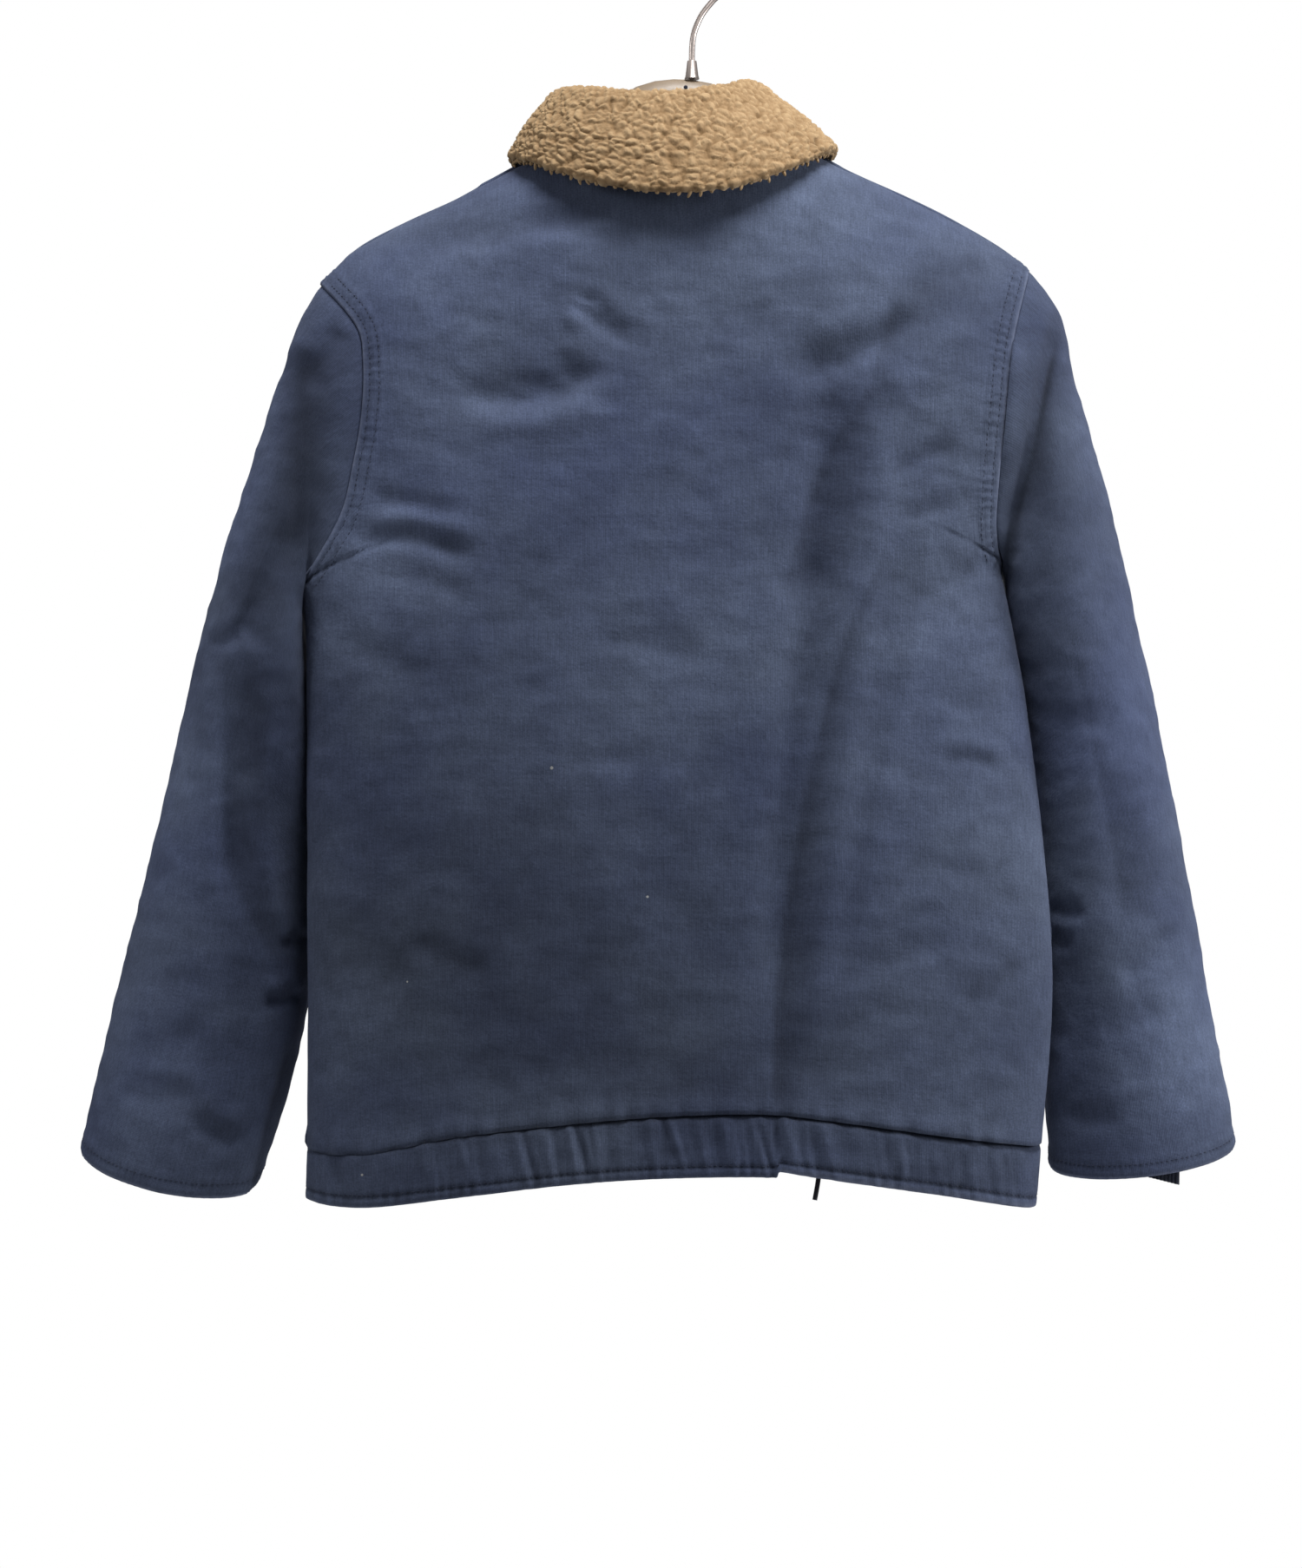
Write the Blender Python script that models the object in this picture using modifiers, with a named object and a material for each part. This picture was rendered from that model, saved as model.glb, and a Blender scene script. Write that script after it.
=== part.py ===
"""A deck jacket hanging on a plastic hanger, as closed solids at real size.

Metres, +Z up. The jacket's front faces -Y and its back +Y, so the wearer's left is +X. The origin is where a
rod would touch the inside of the hook. Each panel's sizes are those of its outer face, and Solidify lays the
cloth inside it.
"""
import math

import bmesh
import bpy
from mathutils import Vector

NAME = "deck_jacket"

# The jacket as a whole.
CENTRE_X = 0.0115  # the jacket hangs a little to the wearer's left of the hook
WALL = 0.0026  # shell and pile lining pressed together
BAND_WALL = 0.0034  # the hem band is folded double
SEAM_GAP = 0.0003  # between pieces that are sewn together
SHOULDER_GAP = 0.0011  # over a ridge, so that the inner faces stay apart too
SHOULDER_ROUND = 0.105  # height over which the body opens from the shoulder ridge to its full depth

# The two sides of the body, where back and front panel meet. Above the armpit they run on inside the sleeves.
BODY_ROWS = (
    # z, left x, right x, back depth, front depth
    (-0.815, 0.2450, -0.2170, 0.0645, 0.0685),
    (-0.7735, 0.2435, -0.2205, 0.0650, 0.0695),
    (-0.673, 0.2431, -0.2281, 0.0635, 0.0705),
    (-0.574, 0.2435, -0.2216, 0.0615, 0.0705),
    (-0.490, 0.2439, -0.2109, 0.0600, 0.0695),
    (-0.445, 0.2445, -0.2030, 0.0595, 0.0675),
    (-0.4204, 0.2487, -0.1980, 0.0590, 0.0665),
    (-0.4039, 0.2525, -0.1961, 0.0585, 0.0655),
    (-0.350, 0.2595, -0.2165, 0.0585, 0.0645),
    (-0.290, 0.2625, -0.2305, 0.0580, 0.0625),
    (-0.090, 0.2665, -0.2385, 0.0565, 0.0605),
)
SIDE_POWER = 2.6  # how square the body's section is at its sides

# The shoulder ridge, measured out from the centre line.
SHOULDER_ROWS = (
    # distance, left z, right z
    (-0.030, -0.0950, -0.0950),
    (0.000, -0.0990, -0.0990),
    (0.077, -0.1420, -0.1395),
    (0.105, -0.1560, -0.1535),
    (0.135, -0.1723, -0.1665),
    (0.165, -0.1857, -0.1802),
    (0.195, -0.2005, -0.1963),
    (0.2105, -0.2125, -0.2060),
    (0.2251, -0.2290, -0.2175),
    (0.250, -0.2600, -0.2450),
)

# The armhole seam seen from behind, from the shoulder tip (0) to the armpit (1).
ARMHOLE_ROWS = (
    # share, left x, left z, right x, right z
    (0.00, 0.2350, -0.2275, -0.2135, -0.2175),
    (0.15, 0.2090, -0.2585, -0.2025, -0.2550),
    (0.30, 0.2040, -0.2830, -0.1970, -0.2830),
    (0.48, 0.2050, -0.3150, -0.1930, -0.3250),
    (0.65, 0.2105, -0.3460, -0.1903, -0.3560),
    (0.80, 0.2180, -0.3750, -0.1893, -0.3790),
    (0.91, 0.2325, -0.4000, -0.1910, -0.3940),
    (1.00, 0.2477, -0.4204, -0.1951, -0.4039),
)

# The neck seam: half width, and how far it drops below its ends on the shoulders.
NECK_HALF = 0.077
NECK_DROP_BACK = 0.016
NECK_DROP_FRONT = 0.058

# The hem: the seam above the band and the band's lower edge, across from the wearer's left to the right.
HEM_ROWS = (
    # x from the centre, seam z, edge z
    (0.234, -0.7735, -0.8030),
    (0.212, -0.7736, -0.8052),
    (0.186, -0.7715, -0.8045),
    (0.137, -0.7611, -0.7975),
    (0.068, -0.7526, -0.7885),
    (0.009, -0.7480, -0.7842),
    (-0.054, -0.7469, -0.7834),
    (-0.097, -0.7517, -0.7868),
    (-0.167, -0.7625, -0.7965),
    (-0.226, -0.7722, -0.8080),
)

# Soft folds of the back panel, as quadratic curves seen from behind. Height is outwards.
BACK_FOLDS = (
    # name, start x, z, handle x, z, end x, z, half width, height
    ("long slope, trough", -0.093, -0.276, -0.068, -0.456, -0.044, -0.747, 0.020, -0.0085),
    ("long slope, crest", -0.128, -0.264, -0.094, -0.466, -0.064, -0.741, 0.022, 0.0050),
    ("under the collar", 0.184, -0.212, 0.125, -0.200, 0.046, -0.192, 0.012, -0.0040),
    ("hollow below the left blade", 0.162, -0.297, 0.086, -0.321, 0.058, -0.281, 0.012, -0.0045),
    ("right arc", -0.049, -0.293, -0.106, -0.289, -0.147, -0.238, 0.012, -0.0042),
    ("left armpit, middle", 0.214, -0.397, 0.180, -0.382, 0.126, -0.408, 0.009, -0.0040),
    ("left armpit, roll", 0.210, -0.385, 0.171, -0.371, 0.120, -0.397, 0.008, 0.0020),
    ("right waist", -0.150, -0.533, -0.171, -0.520, -0.193, -0.538, 0.009, -0.0030),
    ("right low", -0.088, -0.674, -0.125, -0.639, -0.162, -0.643, 0.012, -0.0030),
    ("left low hollow", 0.224, -0.613, 0.214, -0.655, 0.168, -0.674, 0.020, -0.0024),
)
FRONT_FOLDS = (
    # name, start x, z, handle x, z, end x, z, half width, height
    ("left long", 0.110, -0.300, 0.120, -0.520, 0.090, -0.760, 0.024, -0.0070),
    ("right long", -0.120, -0.290, -0.105, -0.500, -0.125, -0.760, 0.022, -0.0065),
    ("left armpit", 0.225, -0.405, 0.165, -0.390, 0.110, -0.420, 0.010, -0.0040),
    ("right armpit", -0.185, -0.395, -0.140, -0.385, -0.095, -0.410, 0.010, -0.0040),
)
BAND_GATHERS = 25  # across the back; the fronts have as many between them
BAND_GATHER_HEIGHT = 0.0016
BAND_GATHER_LEAN = 0.35  # how far a gather leans over the band, in pitches

# Each sleeve, ring by ring: where its outer and inner edge are seen from behind, and its depth.
SLEEVE_ROWS_LEFT = (
    # share, outer x, outer z, inner x, inner z, centre y, half depth, armhole's share
    (0.00, 0.2350, -0.2275, 0.2477, -0.4204, 0.000, 0.0425, 1.00),
    (0.05, 0.2500, -0.2520, 0.2500, -0.4314, -0.002, 0.0395, 0.46),
    (0.11, 0.2584, -0.2788, 0.2486, -0.4455, -0.005, 0.0415, 0.30),
    (0.18, 0.2686, -0.3083, 0.2480, -0.4623, -0.009, 0.0465, 0.14),
    (0.30, 0.2870, -0.3658, 0.2440, -0.4980, -0.016, 0.0535, 0.05),
    (0.40, 0.3022, -0.4097, 0.2425, -0.5235, -0.022, 0.0555, 0.00),
    (0.52, 0.3211, -0.4740, 0.2415, -0.5592, -0.028, 0.0555, 0.00),
    (0.64, 0.3361, -0.5410, 0.2420, -0.5973, -0.032, 0.0535, 0.00),
    (0.75, 0.3531, -0.6083, 0.2425, -0.6422, -0.034, 0.0495, 0.00),
    (0.86, 0.3702, -0.6756, 0.2500, -0.7011, -0.035, 0.0435, 0.00),
    (0.95, 0.3858, -0.7401, 0.2655, -0.7600, -0.035, 0.0365, 0.00),
    (1.00, 0.3935, -0.7776, 0.2800, -0.8004, -0.035, 0.0315, 0.00),
)
SLEEVE_ROWS_RIGHT = (
    # share, outer x, outer z, inner x, inner z, centre y, half depth, armhole's share
    (0.00, -0.2135, -0.2175, -0.1951, -0.4039, 0.000, 0.0425, 1.00),
    (0.05, -0.2326, -0.2440, -0.1983, -0.4160, -0.002, 0.0395, 0.46),
    (0.11, -0.2403, -0.2793, -0.2022, -0.4315, -0.005, 0.0415, 0.30),
    (0.18, -0.2494, -0.3093, -0.2048, -0.4520, -0.009, 0.0465, 0.14),
    (0.30, -0.2660, -0.3638, -0.2100, -0.4900, -0.016, 0.0535, 0.05),
    (0.40, -0.2782, -0.4100, -0.2135, -0.5180, -0.022, 0.0555, 0.00),
    (0.52, -0.2938, -0.4743, -0.2175, -0.5550, -0.028, 0.0555, 0.00),
    (0.64, -0.3079, -0.5413, -0.2205, -0.5940, -0.032, 0.0535, 0.00),
    (0.75, -0.3212, -0.6084, -0.2235, -0.6400, -0.034, 0.0495, 0.00),
    (0.86, -0.3331, -0.6757, -0.2265, -0.6990, -0.035, 0.0435, 0.00),
    (0.95, -0.3459, -0.7402, -0.2290, -0.7516, -0.035, 0.0365, 0.00),
    (1.00, -0.3514, -0.7755, -0.2320, -0.7908, -0.035, 0.0315, 0.00),
)
CUFF_DROOP = {"left": 0.014, "right": 0.009}  # the back of the cuff hangs lower than its ends
SLEEVE_FOLDS_LEFT = (
    # name, share from, to, angle from, to, half width in degrees, height
    ("long crease", 0.28, 0.80, 70, 88, 16, -0.0055),
    ("inner crease", 0.52, 0.84, 128, 118, 12, -0.0035),
    ("front long crease", 0.30, 0.75, 285, 270, 18, -0.0045),
)
SLEEVE_FOLDS_RIGHT = (
    # name, share from, to, angle from, to, half width in degrees, height
    ("upper crease", 0.10, 0.42, 62, 128, 15, -0.0050),
    ("long crease", 0.45, 0.82, 100, 92, 17, -0.0040),
    ("front long crease", 0.28, 0.72, 288, 268, 18, -0.0045),
)

# The collar: one folded sheet, from the neck seam up over the roll and down to the free edge of the fall.
COLLAR_WALL = 0.0070  # cloth and pile
COLLAR_OPEN = 15  # degrees from the centre front to each end
ROLL_SHIFT = 0.0105  # the roll stands this far to the wearer's left of the centre line
ROLL_HALF_WIDTH = 0.0612
ROLL_BACK = 0.0500
ROLL_FRONT = 0.0540
ROLL_RADIUS = 0.0060
ROLL_Z = {"left": -0.1135, "right": -0.1080, "back": -0.1245, "front": -0.1620}
FALL_HALF_WIDTH = 0.1015
FALL_BACK = 0.0715
FALL_FRONT = 0.0790
FALL_Z = {"left": -0.1490, "right": -0.1440, "back": -0.1835, "front": -0.2080}

# The zip at the centre front.
ZIP_HALF = 0.0075
ZIP_WALL = 0.0020
SLIDER_Z = -0.2280
SLIDER = Vector((0.0090, 0.0032, 0.0130))
BRIDGE_HALF_WIDTH = 0.0012
BRIDGE_HALF_LENGTH = 0.0042
BRIDGE_OUT = 0.0040
BRIDGE_BAR = 0.0012
PULL_THICKNESS = 0.0014
PULL_HALF_WIDTH = 0.0042
PULL_LENGTH = 0.0300
PULL_BAR = 0.0014
PULL_WINDOW = (0.0021, 0.0058)

# The dark strap end under the wearer's right cuff.
STRAP_WIDTH = 0.026
STRAP_WALL = 0.0024

# The drawcord's free end, from the inside of the hem band to below its edge.
CORD_RADIUS = 0.0015
CORD_X = -0.0785

# The hanger, and the wire hook that turns over the rod.
HANGER_SEAT = 0.0009  # between the hanger's arms and the inside of the shoulders
HANGER_ROWS = (
    # distance from the jacket's centre line, hump's top z (the arms follow the shoulders), half height, half depth
    (-0.2020, -0.2300, 0.0030, 0.0040),
    (-0.1960, -0.2250, 0.0070, 0.0075),
    (-0.1650, -0.2000, 0.0085, 0.0092),
    (-0.1050, -0.1650, 0.0090, 0.0105),
    (-0.0735, -0.1475, 0.0100, 0.0090),
    (-0.0550, -0.1290, 0.0115, 0.0082),
    (-0.0440, -0.1170, 0.0130, 0.0078),
    (-0.0330, -0.1030, 0.0155, 0.0072),
    (-0.0080, -0.0965, 0.0190, 0.0070),
    (0.0210, -0.1000, 0.0165, 0.0072),
    (0.0440, -0.1150, 0.0130, 0.0080),
    (0.0580, -0.1310, 0.0115, 0.0085),
    (0.0735, -0.1490, 0.0100, 0.0090),
    (0.1050, -0.1700, 0.0090, 0.0105),
    (0.1650, -0.2000, 0.0085, 0.0092),
    (0.1960, -0.2250, 0.0070, 0.0075),
    (0.2020, -0.2300, 0.0030, 0.0040),
)
WIRE_RADIUS = 0.0019
HOOK_RADIUS = 0.0260
SHANK_ROWS = (
    # x, z
    (0.0000, -0.0930),
    (0.0000, -0.0820),
    (-0.0004, -0.0730),
    (-0.0020, -0.0650),
    (-0.0066, -0.0550),
)
HOOK_START, HOOK_END = -58, 208  # degrees round from the wearer's right

COLOURS = {
    # material: colour, roughness, metallic
    "navy_cloth": ((0.060, 0.075, 0.115), 0.90, 0.0),
    "navy_band": ((0.055, 0.070, 0.110), 0.90, 0.0),
    "pile": ((0.440, 0.300, 0.165), 1.00, 0.0),
    "strap": ((0.016, 0.020, 0.032), 0.90, 0.0),
    "cord": ((0.020, 0.017, 0.017), 0.80, 0.0),
    "zip_tape": ((0.020, 0.025, 0.040), 0.90, 0.0),
    "zip_metal": ((0.420, 0.400, 0.360), 0.40, 1.0),
    "hanger_plastic": ((0.360, 0.330, 0.290), 0.45, 0.0),
    "steel_wire": ((0.600, 0.570, 0.550), 0.30, 1.0),
}


# Reading the tables.


def along(rows, at, column):
    """The value of a table's column where its first column is `at`, on a smooth curve through its rows."""
    rows = sorted(rows, key=lambda row: row[0])
    at = min(max(at, rows[0][0]), rows[-1][0])
    i = max(k for k in range(len(rows) - 1) if rows[k][0] <= at)
    x0, x1 = rows[i][0], rows[i + 1][0]
    y0, y1 = rows[i][column], rows[i + 1][column]
    step = (y1 - y0) / (x1 - x0)

    def slope(k):
        if k <= 0 or k >= len(rows) - 1:
            return step
        return (rows[k + 1][column] - rows[k - 1][column]) / (rows[k + 1][0] - rows[k - 1][0])

    t = (at - x0) / (x1 - x0)
    m0, m1 = slope(i) * (x1 - x0), slope(i + 1) * (x1 - x0)
    return (
        (2 * t**3 - 3 * t**2 + 1) * y0
        + (t**3 - 2 * t**2 + t) * m0
        + (3 * t**2 - 2 * t**3) * y1
        + (t**3 - t**2) * m1
    )


def blend(a, b, t):
    return a + (b - a) * t


def smooth(t):
    t = min(max(t, 0.0), 1.0)
    return t * t * (3 - 2 * t)


# The body's form.


def shoulder_z(x):
    """The height of the shoulder ridge, which runs on as a virtual peak over the neck."""
    away = x - CENTRE_X
    return along(SHOULDER_ROWS, abs(away), 1 if away > 0 else 2)


def fold_height(folds, x, z):
    """The sum of the soft folds at a point of the panel seen from behind."""
    total = 0.0
    for _, x0, z0, x1, z1, x2, z2, half, height in folds:
        if not (min(x0, x1, x2) - 3 * half < x < max(x0, x1, x2) + 3 * half):
            continue
        near, share = 1e9, 0.0
        for k in range(25):
            t = k / 24
            fx = (1 - t) ** 2 * x0 + 2 * t * (1 - t) * x1 + t * t * x2
            fz = (1 - t) ** 2 * z0 + 2 * t * (1 - t) * z1 + t * t * z2
            away = math.hypot(x - fx, z - fz)
            if away < near:
                near, share = away, t
        fade = smooth(share / 0.22) * smooth((1 - share) / 0.22) if z2 > -0.745 else smooth(share / 0.3)
        total += height * fade * math.exp(-((near / half) ** 2))
    return total


def body_y(x, z, face):
    """How far back (+1) or front (-1) the body's outer face is at a point seen from behind."""
    side = along(BODY_ROWS, z, 1 if x > CENTRE_X else 2)
    across = min(abs((x - CENTRE_X) / (side - CENTRE_X)), 1.0)
    round_side = (1 - across**SIDE_POWER) ** (1 / SIDE_POWER)
    below = min(max(shoulder_z(x) - z, 0.0) / SHOULDER_ROUND, 1.0)
    round_top = math.sqrt(1 - (1 - below) ** 2)
    depth = along(BODY_ROWS, z, 3 if face > 0 else 4)
    folds = BACK_FOLDS if face > 0 else FRONT_FOLDS
    return face * round_side * round_top * (depth + fold_height(folds, x, z))


def body_point(x, z, face):
    return Vector((x, body_y(x, z, face), z))


def armhole(side, share):
    """The armhole seam from the shoulder tip (0) to the armpit (1), seen from behind."""
    column = 1 if side == "left" else 3
    tip_x, tip_z = ARMHOLE_ROWS[0][column], ARMHOLE_ROWS[0][column + 1]
    to_ridge = (shoulder_z(tip_x) - tip_z) * (1 - smooth(share / 0.15))
    return along(ARMHOLE_ROWS, share, column), along(ARMHOLE_ROWS, share, column + 1) + to_ridge


def neck(turn):
    """The neck seam seen from behind, at an angle from the centre back towards the wearer's left."""
    away = math.sin(turn)
    x = CENTRE_X + NECK_HALF * away
    ridge = shoulder_z(CENTRE_X + math.copysign(NECK_HALF, away))
    drop = NECK_DROP_BACK if math.cos(turn) > 0 else NECK_DROP_FRONT
    other = shoulder_z(CENTRE_X - math.copysign(NECK_HALF, away))
    ridge = blend((ridge + other) / 2, ridge, smooth(abs(away)))
    return x, ridge - drop * abs(math.cos(turn)) ** 1.6


def hem_z(x, column):
    return along(HEM_ROWS, x - CENTRE_X, column)


# The panels, as points over u (across) and v (up).


def side_edge(side, v):
    """The body's edge at one side: the side seam up to the armpit, then the armhole seam."""
    armpit_x, armpit_z = armhole(side, 1.0)
    low = hem_z(armpit_x, 1)
    split = 0.60
    if v < split:
        z = blend(low, armpit_z, v / split)
        return along(BODY_ROWS, z, 1 if side == "left" else 2), z
    return armhole(side, 1 - (v - split) / (1 - split))


def top_edge(u, face):
    """The panel's upper edge over the whole width: left shoulder, neck, right shoulder."""
    shoulder = 0.5 - 0.165
    if u < shoulder:
        share = u / shoulder
        x = blend(armhole("left", 0.0)[0], CENTRE_X + NECK_HALF, share)
        return x, shoulder_z(x)
    if u > 1 - shoulder:
        share = (1 - u) / shoulder
        x = blend(armhole("right", 0.0)[0], CENTRE_X - NECK_HALF, share)
        return x, shoulder_z(x)
    turn = (0.5 - u) / 0.165 * math.pi / 2
    return neck(turn if face > 0 else math.pi - turn)


def low_edge(u, low_x):
    x = blend(low_x["left"], low_x["right"], u)
    return x, hem_z(x, 1)


def body_patch(u, v, face):
    """A point of the body seen from behind, filled in between its four edges. u runs from left to right."""
    low_x = {side: side_edge(side, 0.0)[0] for side in ("left", "right")}
    left, right = side_edge("left", v), side_edge("right", v)

    def fill(share, k):
        low, top = low_edge(share, low_x)[k], top_edge(share, face)[k]
        low_line = blend(low_edge(0, low_x)[k], low_edge(1, low_x)[k], share)
        top_line = blend(top_edge(0, face)[k], top_edge(1, face)[k], share)
        return blend(low - low_line, top - top_line, v) + blend(left[k], right[k], share)

    to_centre = CENTRE_X - fill(0.5, 0)
    return fill(u, 0) + to_centre * (1 - abs(2 * u - 1)), fill(u, 1)


def crowd(t):
    """Puts more columns near both ends, where the panel turns round."""
    s = 2 * t - 1
    return 0.5 + 0.5 * (0.62 * math.sin(s * math.pi / 2) + 0.38 * s)


def crowd_up(t):
    """Puts more rows near the shoulder ridge."""
    return 0.84 * math.sin(t * math.pi / 2) + 0.16 * t


def inset(share, gap):
    """Keeps a share of the way clear of both ends."""
    return gap + share * (1 - 2 * gap)


# Making objects.


def remove_all():
    for thing in list(bpy.data.objects):
        bpy.data.objects.remove(thing, do_unlink=True)


def collection(name, cutters=False):
    made = bpy.data.collections.new(name)
    bpy.context.scene.collection.children.link(made)
    made.hide_render = cutters
    return made


def material(name):
    colour, roughness, metallic = COLOURS[name]
    made = bpy.data.materials.new(name)
    made.use_nodes = True
    shader = made.node_tree.nodes["Principled BSDF"]
    shader.inputs["Base Color"].default_value = (*colour, 1)
    shader.inputs["Roughness"].default_value = roughness
    shader.inputs["Metallic"].default_value = metallic
    made.diffuse_color = (*colour, 1)
    return made


def add(name, data, parts, look):
    made = bpy.data.objects.new(name, data)
    data.materials.append(look)
    parts.objects.link(made)
    return made


def sheet(name, columns, rows, point, wall, parts, look, offset=-1.0, closed=False):
    """A grid laid through point(u, v) and given a thickness. A closed sheet meets itself in a tube."""
    shape = bmesh.new()
    bmesh.ops.create_grid(shape, x_segments=columns, y_segments=rows, size=0.5)
    for corner in shape.verts:
        corner.co = point(corner.co.x + 0.5, corner.co.y + 0.5)
    if closed:
        bmesh.ops.remove_doubles(shape, verts=shape.verts, dist=1e-6)
    mesh = bpy.data.meshes.new(name)
    shape.to_mesh(mesh)
    shape.free()
    made = add(name, mesh, parts, look)
    thick = made.modifiers.new("Thickness", "SOLIDIFY")
    thick.thickness = wall
    thick.offset = offset
    return made


# The cloth.


def make_back(parts, look):
    edge = SEAM_GAP / 2 / 0.45
    lift = SHOULDER_GAP / 2 / 0.52

    def point(u, v):
        x, z = body_patch(inset(crowd(u), edge), inset(crowd_up(v), lift), 1)
        return body_point(x, z, 1)

    return sheet("back", 24, 29, point, WALL, parts, look)


def beside_zip(across, side):
    """Moves a front's points outwards, most at the centre line, to leave the zip its place."""
    clear = (ZIP_HALF + SEAM_GAP / 2) * (1 - abs(2 * across - 1))
    return clear if side == "left" else -clear


def make_front(side, parts, look):
    """One front, from the side seam to the zip. Its columns run from the wearer's right to the left."""
    lift = SHOULDER_GAP / 2 / 0.52
    edge = SEAM_GAP / 2 / 0.45

    def point(u, v):
        v = inset(crowd_up(v), lift)
        if side == "left":
            across = 0.5 * (1 - math.sin(u * math.pi / 2) * 0.7 - u * 0.3)
            across = max(across, edge)
        else:
            u = 1 - u
            across = 0.5 + 0.5 * (math.sin(u * math.pi / 2) * 0.7 + u * 0.3)
            across = min(across, 1 - edge)
        x, z = body_patch(across, v, -1)
        return body_point(x + beside_zip(across, side), z, -1)

    return sheet("front_" + side, 11, 26, point, WALL, parts, look)


def gather(x, z, face):
    """The hem band's gathers: uneven waves that lean over the band."""
    share = (x - CENTRE_X) / 0.46 + 0.5
    top, low = hem_z(x, 1), hem_z(x, 2)
    down = (top - z) / (top - low)
    phase = BAND_GATHERS * share + 0.55 * math.sin(9.1 * share + face) + BAND_GATHER_LEAN * down
    size = 0.72 + 0.28 * math.sin(17.0 * share + 2 * face)
    return BAND_GATHER_HEIGHT * size * math.sin(2 * math.pi * phase) * (0.35 + 0.65 * math.sin(math.pi * down))


def band_point(x, z, face):
    at = body_point(x, z, face)
    side = along(BODY_ROWS, z, 1 if x > CENTRE_X else 2)
    across = min(abs((x - CENTRE_X) / (side - CENTRE_X)), 1.0)
    still = math.exp(-(((x - CENTRE_X) / 0.014) ** 2)) if face < 0 else 0
    at.y += face * gather(x, z, face) * (1 - across**6) * (1 - still)
    return at


def make_band(name, start, end, columns, face, parts, look):
    """A stretch of the hem band, from one share of the width to another, 0 being the wearer's left."""

    def point(u, v):
        across = blend(start, end, u)
        seam_x = blend(side_edge("left", 0.0)[0], side_edge("right", 0.0)[0], across)
        z = blend(hem_z(seam_x, 2), hem_z(seam_x, 1) - SEAM_GAP, v)
        sides = [along(BODY_ROWS, z, k) for k in (1, 2)]
        x = blend(CENTRE_X, sides[0 if across < 0.5 else 1], abs(2 * across - 1))
        if face < 0:
            x += beside_zip(across, name.rsplit("_", 1)[1])
        return band_point(x, z, face)

    return sheet(name, columns, 3, point, BAND_WALL, parts, look)


def make_bands(parts, look):
    edge = SEAM_GAP / 2 / 0.45
    make_band("hem_band_back", edge, 1 - edge, 76, 1, parts, look)
    make_band("hem_band_front_left", 0.5, edge, 38, -1, parts, look)
    make_band("hem_band_front_right", 1 - edge, 0.5, 38, -1, parts, look)


def armhole_point(side, turn):
    """The armhole seam in space, at an angle round from the shoulder tip over the back."""
    share = (1 - math.cos(turn)) / 2
    x, z = armhole(side, share)
    return body_point(x, z, 1 if math.sin(turn) >= 0 else -1)


def sleeve_fold(side, share, turn):
    total = 0.0
    degrees = math.degrees(turn) % 360
    for _, start, end, from_turn, to_turn, half, height in (
        SLEEVE_FOLDS_LEFT if side == "left" else SLEEVE_FOLDS_RIGHT
    ):
        if not start < share < end:
            continue
        t = (share - start) / (end - start)
        away = (degrees - blend(from_turn, to_turn, t)) / half
        total += height * math.sin(math.pi * t) ** 0.7 * math.exp(-away * away)
    return total


def sleeve_ring(side, share):
    """Centre, outward half axis, half depth and the armhole's share of a sleeve's ring."""
    rows = SLEEVE_ROWS_LEFT if side == "left" else SLEEVE_ROWS_RIGHT
    outer_x, outer_z, inner_x, inner_z, y, depth, arm = (along(rows, share, k) for k in range(1, 8))
    outer = Vector((outer_x, y, outer_z))
    inner = Vector((inner_x, y, inner_z))
    return (outer + inner) / 2, (outer - inner) / 2, depth, max(arm, 0.0)


def sleeve_point(side, share, turn):
    """A point of the sleeve's outer face. The turn starts at its outer edge and goes over the back."""
    centre, half, depth, arm = sleeve_ring(side, share)
    depth += sleeve_fold(side, share, turn) / max(abs(math.sin(turn)), 0.5)
    at = centre + half * math.cos(turn) + Vector((0, depth * math.sin(turn), 0))
    if arm > 0:
        first_centre, first_half, first_depth, _ = sleeve_ring(side, 0.0)
        plain = first_centre + first_half * math.cos(turn) + Vector((0, first_depth * math.sin(turn), 0))
        at += (armhole_point(side, turn) - plain) * arm
    droop = smooth((share - 0.8) / 0.2)
    at.z -= CUFF_DROOP[side] * droop * math.sin(turn)
    return at


def make_sleeve(side, parts, look):
    start = 0.0050

    def point(u, v):
        turn = 2 * math.pi * (1 - u if side == "left" else u)
        share = blend(start, 1.0, v**1.25)
        return sleeve_point(side, share, turn)

    return sheet("sleeve_" + side, 18, 22, point, WALL, parts, look, closed=True)


def collar_level(levels, turn):
    """A height round the collar, from its values at the sides, the back and the front."""
    across, back = math.sin(turn), math.cos(turn)
    sides = blend(levels["right"], levels["left"], (across + 1) / 2)
    return blend(sides, levels["back" if back > 0 else "front"], back * back)


def collar_ring(turn, shift, half_width, back_depth, front_depth, levels):
    depth = back_depth if math.cos(turn) > 0 else front_depth
    x = CENTRE_X + shift + half_width * math.sin(turn)
    return Vector((x, depth * math.cos(turn), collar_level(levels, turn)))


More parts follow.
